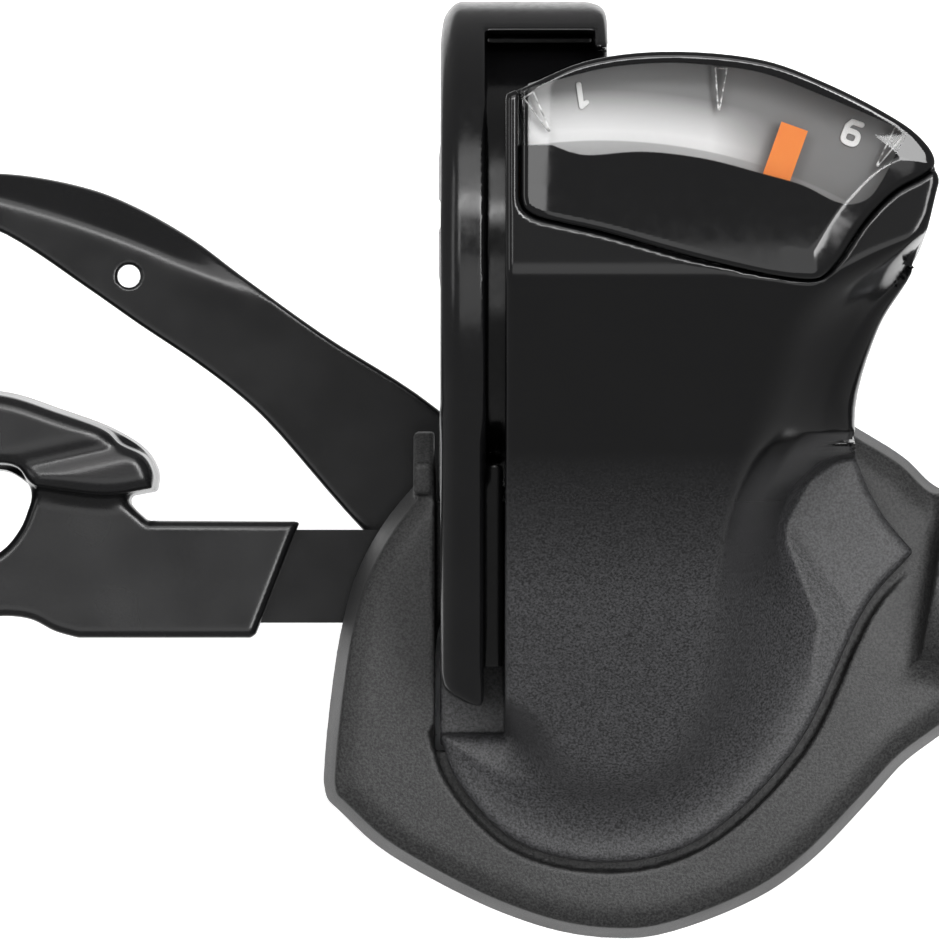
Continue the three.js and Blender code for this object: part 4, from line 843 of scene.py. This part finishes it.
def clamp_field(x, y, z):
    from_axis = np.hypot(y, z)
    left, right = BAND_LEFT - x, x - BAND_RIGHT
    band = common(from_axis - BAND_RADIUS, left, 0.3)
    band = common(band, (from_axis - BAND_RADIUS + left + 0.9) / math.sqrt(2), 0.3)
    band = common(band, right, 0.5)
    upper = np.maximum(-4 - z, y - 12.9)
    groove = np.maximum(np.maximum(CHANNEL_RADIUS - from_axis, upper), np.maximum(-2.3 - x, x - 4.15))
    band = without(band, groove, 0.2)
    relief = np.maximum(np.maximum(CHANNEL_RADIUS - from_axis, upper + 1), 4.1 - x)
    band = without(band, relief, 0.2)
    arm_edge = signed_distance(ARM_TOP, x, y)
    arm = common(signed_distance(ARM_SIDE, y, z), arm_edge, 0.45)
    face = (z * math.cos(SLOPE) - y * math.sin(SLOPE)) - BAND_RADIUS
    arm = common(arm, (face + left + 0.9) / math.sqrt(2), 0.3)
    # below its rim the arm is wider, and closes the gap beside the cover
    low_arm = block(x, y, z, (BAND_LEFT, -ARM_END, -60), (COVER_LEFT - 0.12, -5, 60))
    arm = np.minimum(arm, common(signed_distance(ARM_SIDE, y, z) + 2.4, low_arm, 0.2))
    whole = joined(band, arm, 0.3)
    leg = block(x, y, z, (BAND_LEFT, AXLE_Y + 10, RIM), (2, -BAR_RADIUS - 0.6, -1))
    whole = joined(whole, leg + 0.1, 0.4)
    out = y * math.cos(LUG_ANGLE) + z * math.sin(LUG_ANGLE)
    up = z * math.cos(LUG_ANGLE) - y * math.sin(LUG_ANGLE)
    lug = common(common(np.abs(x) - 5, np.abs(up) - 4.6, 1.2), out - BAR_RADIUS - 10.4, 1.5)
    whole = joined(whole, np.maximum(lug, BAR_RADIUS + 1 - out), 0.5)
    whole = without(whole, np.maximum(np.abs(up) - 0.8, BAR_RADIUS - 3 - out), 0.2)
    bolt = np.hypot(x, out - BAR_RADIUS - 6.4)
    whole = without(whole, bolt - 2.8)
    whole = without(whole, np.maximum(bolt - 4.9, 4.6 - np.abs(up)))
    whole = without(whole, from_axis - BAR_RADIUS, 0.25)
    whole = common(whole, signed_distance(BAND_PLAN, x, y), 0.4)
    screw = centre_of("bracket_screw")
    return without(whole, pin(x, y, z, screw, 1.2, -60, RIM + 6))


clamp = skin("clamp_moulding", clamp_field, (-5.6, -28, -18.4), (5.6, 20.4, 15.4), 0.18)
take_place(clamp, "clamp_bracket", "housing", clamp_gloss)

# %% [markdown]
# ## The display
# The lens is a shallow dome with a hollow back. The window's edge is stored on its points as a distance, so
# that the black paint on its back ends in a clean line. Three small wedges moulded inside the window mark
# the gears.

# %% Lens
WINDOW = outline(
    (-0.3, 9.2),
    [(4.5, 10.5), (8.1, 10.85), (10.5, 10.75), (14, 10.25), (18.2, 8.65), (22.5, 6.8)],
    [(21.9, 5.6), (20.9, 3.7), (20.2, 2.85), (19.1, 2.5), (18.2, 2.7), (16.4, 3.6), (14, 4.3), (10.5, 5.2),
     (6.9, 5.6), (3.6, 5.4), (2.6, 5.6)],
    [(1.6, 6.0)],
    [(-0.3, 6.0)],
    [(-0.3, 9.2)],
)


def lens_height(x, y):
    dome = 0.004 * ((x - 12) ** 2 + (y - 5) ** 2)
    return LENS_TOP - dome - 0.02 * np.maximum(3.5 - x, 0) ** 2


def lens_field(x, y, z):
    edge = signed_distance(LENS, x, y)
    top = z - lens_height(x, y)
    right_side = np.clip((x - 15) / 3, 0, 1) * np.clip((7.5 - y) / 3, 0, 1)
    sloped = top + 0.22 * right_side * np.maximum(edge + 1.6, 0)
    outer = common(common(edge, sloped, 0.35), LENS_BOTTOM - z)
    return without(outer, np.maximum(edge + 0.4, top + 0.9))


lens = skin("display_lens_moulding", lens_field, (-1.6, -2.7, 15.1), (24.7, 12.2, 19.9), 0.13)
spots = np.empty(len(lens.data.vertices) * 3)
lens.data.vertices.foreach_get("co", spots)
spots = spots.reshape(-1, 3) / MM
inside_window = lens.data.attributes.new("inside_window", "FLOAT", "POINT")
inside_window.data.foreach_set("value", -signed_distance(WINDOW, spots[:, 0], spots[:, 1]))
front_gloss = lens.data.attributes.new("front_gloss", "FLOAT", "POINT")
on_front = spots[:, 2] > lens_height(spots[:, 0], spots[:, 1]) - 0.45
front_gloss.data.foreach_set("value", on_front.astype(float))
take_place(lens, "display_lens", "housing", finishes["lens_clear"])

# %% Dial
DIAL_BOTTOM, DIAL_TOP = box_of("dial_plate")[0][2], box_of("dial_plate")[1][2]


def dial_field(x, y, z):
    edge = np.maximum(signed_distance(WINDOW, x, y) - 0.3, 0.18 - x)
    return common(edge, np.abs(z - (DIAL_BOTTOM + DIAL_TOP) / 2) - (DIAL_TOP - DIAL_BOTTOM) / 2, 0.05)


dial_low, dial_high = (-0.6, 1.6, DIAL_BOTTOM - 0.3), (23.4, 11.6, DIAL_TOP + 0.3)
dial = skin("dial_printed_plate", dial_field, dial_low, dial_high, 0.12)
take_place(dial, "dial_plate", "housing", finishes["dial_face"])

# %% [markdown]
# ### Numbers and marks on the dial
# The numbers are read by the rider, so they stand with their feet away from the axle. Numbers and marks are
# drawn as strokes of a round pen: each number is one or two strokes in thick white ink, and each gear mark
# is a narrow wedge moulded in the window, whose two sides are drawn as grey-to-white strokes: a painted glint
# for the bright lines that they catch from the light.

# %% Strokes
def stroke(points, u, v, width):
    """Distance from a line of that width with round ends."""
    nearest = np.full(np.broadcast(u, v).shape, 1e9)
    for (ax, ay), (bx, by) in zip(points, points[1:]):
        run_x, run_y = bx - ax, by - ay
        share = np.clip(((u - ax) * run_x + (v - ay) * run_y) / (run_x**2 + run_y**2), 0, 1)
        nearest = np.minimum(nearest, np.hypot(u - ax - share * run_x, v - ay - share * run_y))
    return nearest - width / 2


def drawn_on_dial(name, strokes, width, centre, degrees, bottom, top, material, slot):
    """Strokes in millimetres about a point, turned anticlockwise by that many degrees."""
    facing = math.radians(degrees)

    def field(x, y, z):
        u = (x - centre[0]) * math.cos(facing) + (y - centre[1]) * math.sin(facing)
        v = (y - centre[1]) * math.cos(facing) - (x - centre[0]) * math.sin(facing)
        flat = np.minimum.reduce([stroke(points, u, v, width) for points in strokes])
        return common(flat, np.abs(z - (bottom + top) / 2) - (top - bottom) / 2, 0.04)

    low = (centre[0] - 2.2, centre[1] - 2.2, bottom - 0.1)
    piece = skin(name, field, low, (centre[0] + 2.2, centre[1] + 2.2, top + 0.1), 0.04)
    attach(piece, "housing")
    piece.data.materials.append(material)
    return piece


def rounded_ring(half_width, half_height, corner, middle):
    points = []
    for step in range(33):
        angle = 2 * math.pi * step / 32
        c, s = math.cos(angle), math.sin(angle)
        points.append((half_width * math.copysign(abs(c) ** corner, c),
                       middle + half_height * math.copysign(abs(s) ** corner, s)))
    return points


# %% Gear numbers and wedge marks
NINE = [rounded_ring(0.42, 0.36, 0.7, 0.28), [(0.42, 0.3), (0.42, -0.3), (0.22, -0.62), (-0.35, -0.64)]]
ONE = [[(0.1, 0.64), (0.1, -0.66)], [(0.1, 0.62), (-0.22, 0.44)]]
INK = (DIAL_TOP + 0.02, DIAL_TOP + 0.22, numeral_ink, "dial_face")
drawn_on_dial("dial_number_1", ONE, 0.32, (3.38, 8.95), 188, *INK)
drawn_on_dial("dial_number_9", NINE, 0.34, (19.3, 6.75), 159, *INK)

# The wedges' opaque grey-to-white colour is a painted glint on their sides and is not the clear plastic's own
# colour.
wedge_painted_glint = speckled(
    "gear_mark_painted_glint", (0.4, 2, 0.4, 0.6, "#8a8a89", "#ffffff"),
    (0.4, 2, 0, 1, 0.12, 0.3), IOR=1.585,
)
WEDGE = [[(-0.34, 1.25), (-0.04, -1.2)], [(0.34, 1.25), (0.04, -1.2)], [(-0.34, 1.25), (0.34, 1.25)]]
MARKS = ("low", (0.85, 7.9), 30), ("middle", (11.5, 9.3), -3), ("high", (21.4, 5.8), -33)
for name, centre, degrees in MARKS:
    drawn_on_dial(f"gear_mark_{name}", WEDGE, 0.1, centre, degrees, DIAL_TOP + 0.6, DIAL_TOP + 1.0,
                  wedge_painted_glint, "lens_clear")

# %% [markdown]
# ## The levers
# The release lever is a flat blade with its upper edge bent down along a crease. The thumb lever is a flat
# steel arm with a nylon sleeve pushed over it, and the sleeve grows into a tall curved pad for the thumb.

# %% Release lever
RELEASE_TOP = box_of("release_lever")[1][2]
BLADE = outline(
    (AXLE_X, AXLE_Y + 6),
    [(-5.2, -9.4), (-12.1, -4.9), (-17.1, -1.3), (-19.9, 0.8), (-23.2, 2.7), (-26.2, 3.9), (-31.2, 4.8),
     (-34.7, 4.6), (-36.2, 3.9), (-35.7, 2.9), (-31.2, 1.1), (-26.2, -2.2), (-23.2, -4.3), (-19.9, -6.5),
     (-17.5, -8.3),
     (-15.5, -10.1), (-9.6, -16.8), (-2, -24), (AXLE_X, AXLE_Y - 3)],
)


def blade_drop(x, y):
    """How far the blade's upper side is bent down beyond its crease."""
    crease = 3.15 - 0.26 * (x + 31.2) - 0.0085 * np.maximum(x + 31.2, 0) ** 2
    past = y - crease
    past = (past + np.sqrt(past**2 + 0.16)) / 2
    return past * 0.75 * np.clip((-15 - x) / 6, 0, 1)


def blade_field(x, y, z):
    middle = RELEASE_TOP - 0.75 - blade_drop(x, y)
    edge = signed_distance(BLADE, x, y)
    thick = (np.abs(z - middle) - 0.75) * 0.9
    hub = pin(x, y, z, (AXLE_X, AXLE_Y), 7, RELEASE_TOP - 1.5, RELEASE_TOP)
    blade = np.minimum(common(edge, thick, 0.25), hub)
    blade = without(blade, np.hypot(x + 23.8, y + 1.4) - 0.69, 0.12)
    return without(blade, np.hypot(x - AXLE_X, y - AXLE_Y) - 4.6, 0.1)


blade_low, blade_high = (-37, -32.4, RELEASE_TOP - 4.6), (12.3, 5.6, RELEASE_TOP + 0.5)
blade = skin("release_blade", blade_field, blade_low, blade_high, 0.17)
take_place(blade, "release_lever", "release_lever", lever_steel)

# %% Thumb pad
ARM_LOW, ARM_HIGH = box_of("thumb_lever_arm")
PAD_LOW, PAD_HIGH = box_of("thumb_pad")
SLEEVE_TOP = ARM_HIGH[2] + 1.5
SLEEVE = outline(
    (-13.45, -16.2),
    [(-22.6, -16.15)],
    [(-23.5, -15.4), (-25, -14.7), (-29.2, -14.4)],
    [(-29.6, -15), (-30.2, -16.5), (-31.2, -17.8), (-33, -18.9), (-34.6, -19.6)],
    [(-34.4, -21.6), (-32.8, -22.1)],
    [(-31.2, -21.9), (-29.6, -22.1), (-28.2, -22.8), (-26.8, -23.2)],
    [(-16.4, -23.2)],
    [(-16.1, -23.0)],
)
PAD_TOP_EDGE = outline(
    (-22.2, -14.3),
    [(-22.1, -13.3), (-22.8, -12), (-24.8, -10.7), (-28, -9.5), (-31.2, -8.5), (-35, -8.4), (-37.6, -9.6)],
    [(-38.3, -11), (-38.4, -13), (-38, -16), (-36.6, -19), (-34.6, -21)],
    [(-33.6, -20), (-34.6, -17.6), (-34.6, -15), (-33.4, -13.4), (-31.2, -13.1), (-29.4, -14.2)],
    [(-25, -14.7), (-22.2, -14.3)],
)


def pad_field(x, y, z):
    sleeve = common(signed_distance(SLEEVE, x, y), np.abs(z - (SLEEVE_TOP - 2.3)) - 2.3, 0.55)
    wall = signed_distance(PAD_TOP_EDGE, x, y)
    middle = (PAD_LOW[2] + PAD_HIGH[2]) / 2
    lean = (z - middle) * 0.02
    slab = common(wall + lean, np.abs(z - middle) - (PAD_HIGH[2] - PAD_LOW[2]) / 2, 0.9)
    ridge = 0.35 * np.exp(-((y + 12.2 - 0.22 * (x + 27)) ** 2) / 0.5)
    pad = joined(sleeve, slab + ridge * (z > middle) * (x > -33), 1.2)
    pocket = block(x, y, z, (-27.1, -22.6, ARM_LOW[2] - 0.3), (-9.8, -16.4, ARM_HIGH[2] + 0.3))
    pad = without(pad, pocket, 0.1)
    screw = centre_of("pad_screw")
    return without(pad, pin(x, y, z, screw, 1.2, -60, ARM_HIGH[2]))


pad_low, pad_high = (-39.2, -24, PAD_LOW[2] - 0.5), (-12.8, -7.9, PAD_HIGH[2] + 0.5)
pad = skin("thumb_pad_moulding", pad_field, pad_low, pad_high, 0.17)
take_place(pad, "thumb_pad", "thumb_lever", pad_nylon)

# %% [markdown]
# ## Turned and headed pieces
# A turned piece is a stack of rings. Each ring may be round, six-sided or fluted, so the same few lines
# make the cable adjuster with its grip flutes and the clamp bolt with its hexagon socket.

# %% Rings into a piece
def turned_piece(name, rings, start, way, sides=120):
    """Rings are (distance along, radius, kind), from one end over the outside and back through the inside."""
    way = Vector(way).normalized()
    across = way.orthogonal().normalized()
    other = way.cross(across)
    points = []
    for along, radius, kind in rings:
        for i in range(sides):
            angle = 2 * math.pi * i / sides
            reach = radius
            if kind == "hexagon":
                reach = radius / math.cos((angle + math.pi / 6) % (math.pi / 3) - math.pi / 6)
            if kind == "fluted":
                reach = radius - 0.5 * max(math.cos(10 * angle), 0) ** 6
            point = Vector(start) + way * along + (across * math.cos(angle) + other * math.sin(angle)) * reach
            points.append(point * MM)
    faces = []
    for ring in range(len(rings) - 1):
        for i in range(sides):
            j = (i + 1) % sides
            low, high = ring * sides, (ring + 1) * sides
            faces.append((low + i, low + j, high + j, high + i))
    faces += [tuple(reversed(range(sides))), tuple(range(len(rings) * sides - sides, len(rings) * sides))]
    mesh = bpy.data.meshes.new(name)
    mesh.from_pydata([tuple(p) for p in points], [], faces)
    piece = bpy.data.objects.new(name, mesh)
    bpy.context.collection.objects.link(piece)
    shade_by_angle(piece)
    return piece


def shade_by_angle(piece, degrees=32):
    """Smooth shading that keeps edges sharper than the angle crisp."""
    piece.data.shade_smooth()
    piece.data.set_sharp_from_angle(angle=math.radians(degrees))


# %% Adjuster barrel
barrel_rings = [
    (-3, 1.8, "round"), (2.8, 1.8, "round"), (2.8, 4.0, "round"), (3.0, 4.35, "round"), (3.3, 4.6, "round"),
    (3.9, 4.6, "round"), (4.3, 4.6, "fluted"), (9.0, 4.6, "fluted"), (9.4, 4.6, "round"), (9.9, 4.6, "round"),
    (10.3, 4.45, "round"), (11.2, 3.8, "round"), (11.4, 3.4, "round"), (11.4, 2.75, "round"),
    (11.25, 2.6, "round"), (6.4, 2.6, "round"), (6.4, 1.2, "round"), (2.0, 1.2, "round"),
]
barrel = turned_piece("adjuster_barrel_turned", barrel_rings, (*NOSE, NOSE_Z), (*WAY, 0))
take_place(barrel, "adjuster_barrel", "adjuster", barrel_nylon)
print(barrel.name, len(barrel.data.polygons), "faces")

# %% Clamp bolt
LUG_WAY = Vector((0, -math.sin(LUG_ANGLE), math.cos(LUG_ANGLE)))
BOLT_MIDDLE = Vector((0, math.cos(LUG_ANGLE), math.sin(LUG_ANGLE))) * (BAR_RADIUS + 6.4)
bolt_rings = [
    (-7.8, 2.0, "round"), (-7.4, 2.5, "round"), (4.9, 2.5, "round"), (4.9, 4.2, "round"), (9.0, 4.2, "round"),
    (9.45, 4.05, "round"), (9.7, 3.7, "round"), (9.7, 2.7, "round"), (9.5, 2.5, "hexagon"),
    (7.1, 2.5, "hexagon"), (6.6, 0.6, "round"),
]
bolt = turned_piece("clamp_bolt_turned", bolt_rings, BOLT_MIDDLE, LUG_WAY)
take_place(bolt, "clamp_bolt", "housing", finishes["bolt_steel"])
print(bolt.name, len(bolt.data.polygons), "faces")

# %% [markdown]
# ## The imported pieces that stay
# The plates, pins, springs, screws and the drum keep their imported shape. Each gets the finish of its slot,
# and a small bevel on its edges, since no stamped or turned edge is perfectly sharp.

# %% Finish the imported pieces
REPLACED = ["top_cover", "base_housing", "bottom_cover", "clamp_bracket", "display_lens", "dial_plate",
            "release_lever", "thumb_pad", "adjuster_barrel", "clamp_bolt"]
for subpart in frame["record"]["subparts"]:
    node = frame["nodes"][subpart["node"]]
    node.data.materials.clear()
    node.data.materials.append(finishes[subpart["material_slot"]])
    if subpart["node"] not in REPLACED:
        bevel = node.modifiers.new("edge_break", "BEVEL")
        bevel.width, bevel.segments, bevel.limit_method = 0.12 * MM, 2, "ANGLE"
        bevel.angle_limit = math.radians(40)
print(len(frame["nodes"]) - len(REPLACED), "packed pieces keep their shape")

# %% [markdown]
# ## Floor and light
# A pale floor lies a little under the shifter and glows faintly, so that it stays even. It is left out of
# reflections: gloss black would mirror it and turn grey. Two long soft boxes hang behind the camera's line,
# with a dark gap between them and the camera, so that level gloss mirrors the gap and stays black, and a
# wide weak box hangs in front. A narrow box on the right gives the satin flanks their pale bands, and two
# small ones light the left. A card on the floor throws a little light up at the housing's wall. The world
# is a dim even grey.

# %% Floor
floor_paint, tree, shader, place = new_finish("painted_board_pale", Roughness=0.8, Emission_Strength=0.6)
cloud = add(tree, "TexNoise", lumps(place, 40.0)).outputs["Fac"]
colours = {0: cloud, MIX_FIRST: linear("#f6f6f6"), MIX_SECOND: linear("#fbfbfb")}
tone = add(tree, "Mix", colours, data_type="RGBA").outputs[MIX_RESULT]
for socket in ("Base Color", "Emission Color"):
    tree.links.new(tone, shader.inputs[socket])

FLOOR_LEVEL = cad_box[0][2] - 30 * MM
FLOOR_REACH = 30.0  # far enough to fill every view
corners = [(x * FLOOR_REACH, y * FLOOR_REACH, FLOOR_LEVEL) for x, y in ((-1, -1), (1, -1), (1, 1), (-1, 1))]
floor_mesh = bpy.data.meshes.new("floor")
floor_mesh.from_pydata(corners, [], [(0, 1, 2, 3)])
floor = bpy.data.objects.new("floor", floor_mesh)
bpy.context.collection.objects.link(floor)
floor.data.materials.append(floor_paint)
floor.visible_glossy = False


# %% Lights
def soft_box(name, place, aim, width, height, strength):
    """A rectangular light; its strength is the brightness of its face."""
    light = bpy.data.lights.new(name, "AREA")
    light.shape, light.size, light.size_y = "RECTANGLE", width, height
    light.energy = strength * math.pi * width * height
    lamp = bpy.data.objects.new(name, light)
    bpy.context.collection.objects.link(lamp)
    lamp.location = place
    lamp.visible_camera = False
    lamp.rotation_euler = (Vector(aim) - Vector(place)).to_track_quat("-Z", "Y").to_euler()
    return lamp


soft_box("rear_near_box", (0.0, 0.47, 1.2), (0, 0, 0), 1.3, 0.2, 8.0)
soft_box("rear_far_box", (0.0, 0.86, 1.05), (0, 0, 0), 1.3, 0.5, 2.0)
soft_box("right_box", (0.44, 0.1, 1.1), (0, 0, 0), 0.9, 0.3, 8.0)
soft_box("front_box", (0.0, -0.42, 1.2), (0, 0, 0), 1.0, 0.7, 0.9)
soft_box("left_box", (-0.9, 0.1, 0.5), (0, 0, 0), 0.9, 0.3, 1.5)
soft_box("left_top_box", (-0.5, 0.1, 1.2), (0, 0, 0), 0.4, 0.2, 3.0)
soft_box("under_card", (0, -0.01, FLOOR_LEVEL + 0.001), (0, -0.01, 1), 0.12, 0.12, 1.0)
world = bpy.data.worlds.new("studio")
bpy.context.scene.world = world
world.use_nodes = True
world.node_tree.nodes["Background"].inputs["Color"].default_value = linear("#e8e8e8")
world.node_tree.nodes["Background"].inputs["Strength"].default_value = 0.3
bpy.context.scene.view_settings.view_transform = "Standard"

bpy.context.view_layer.update()
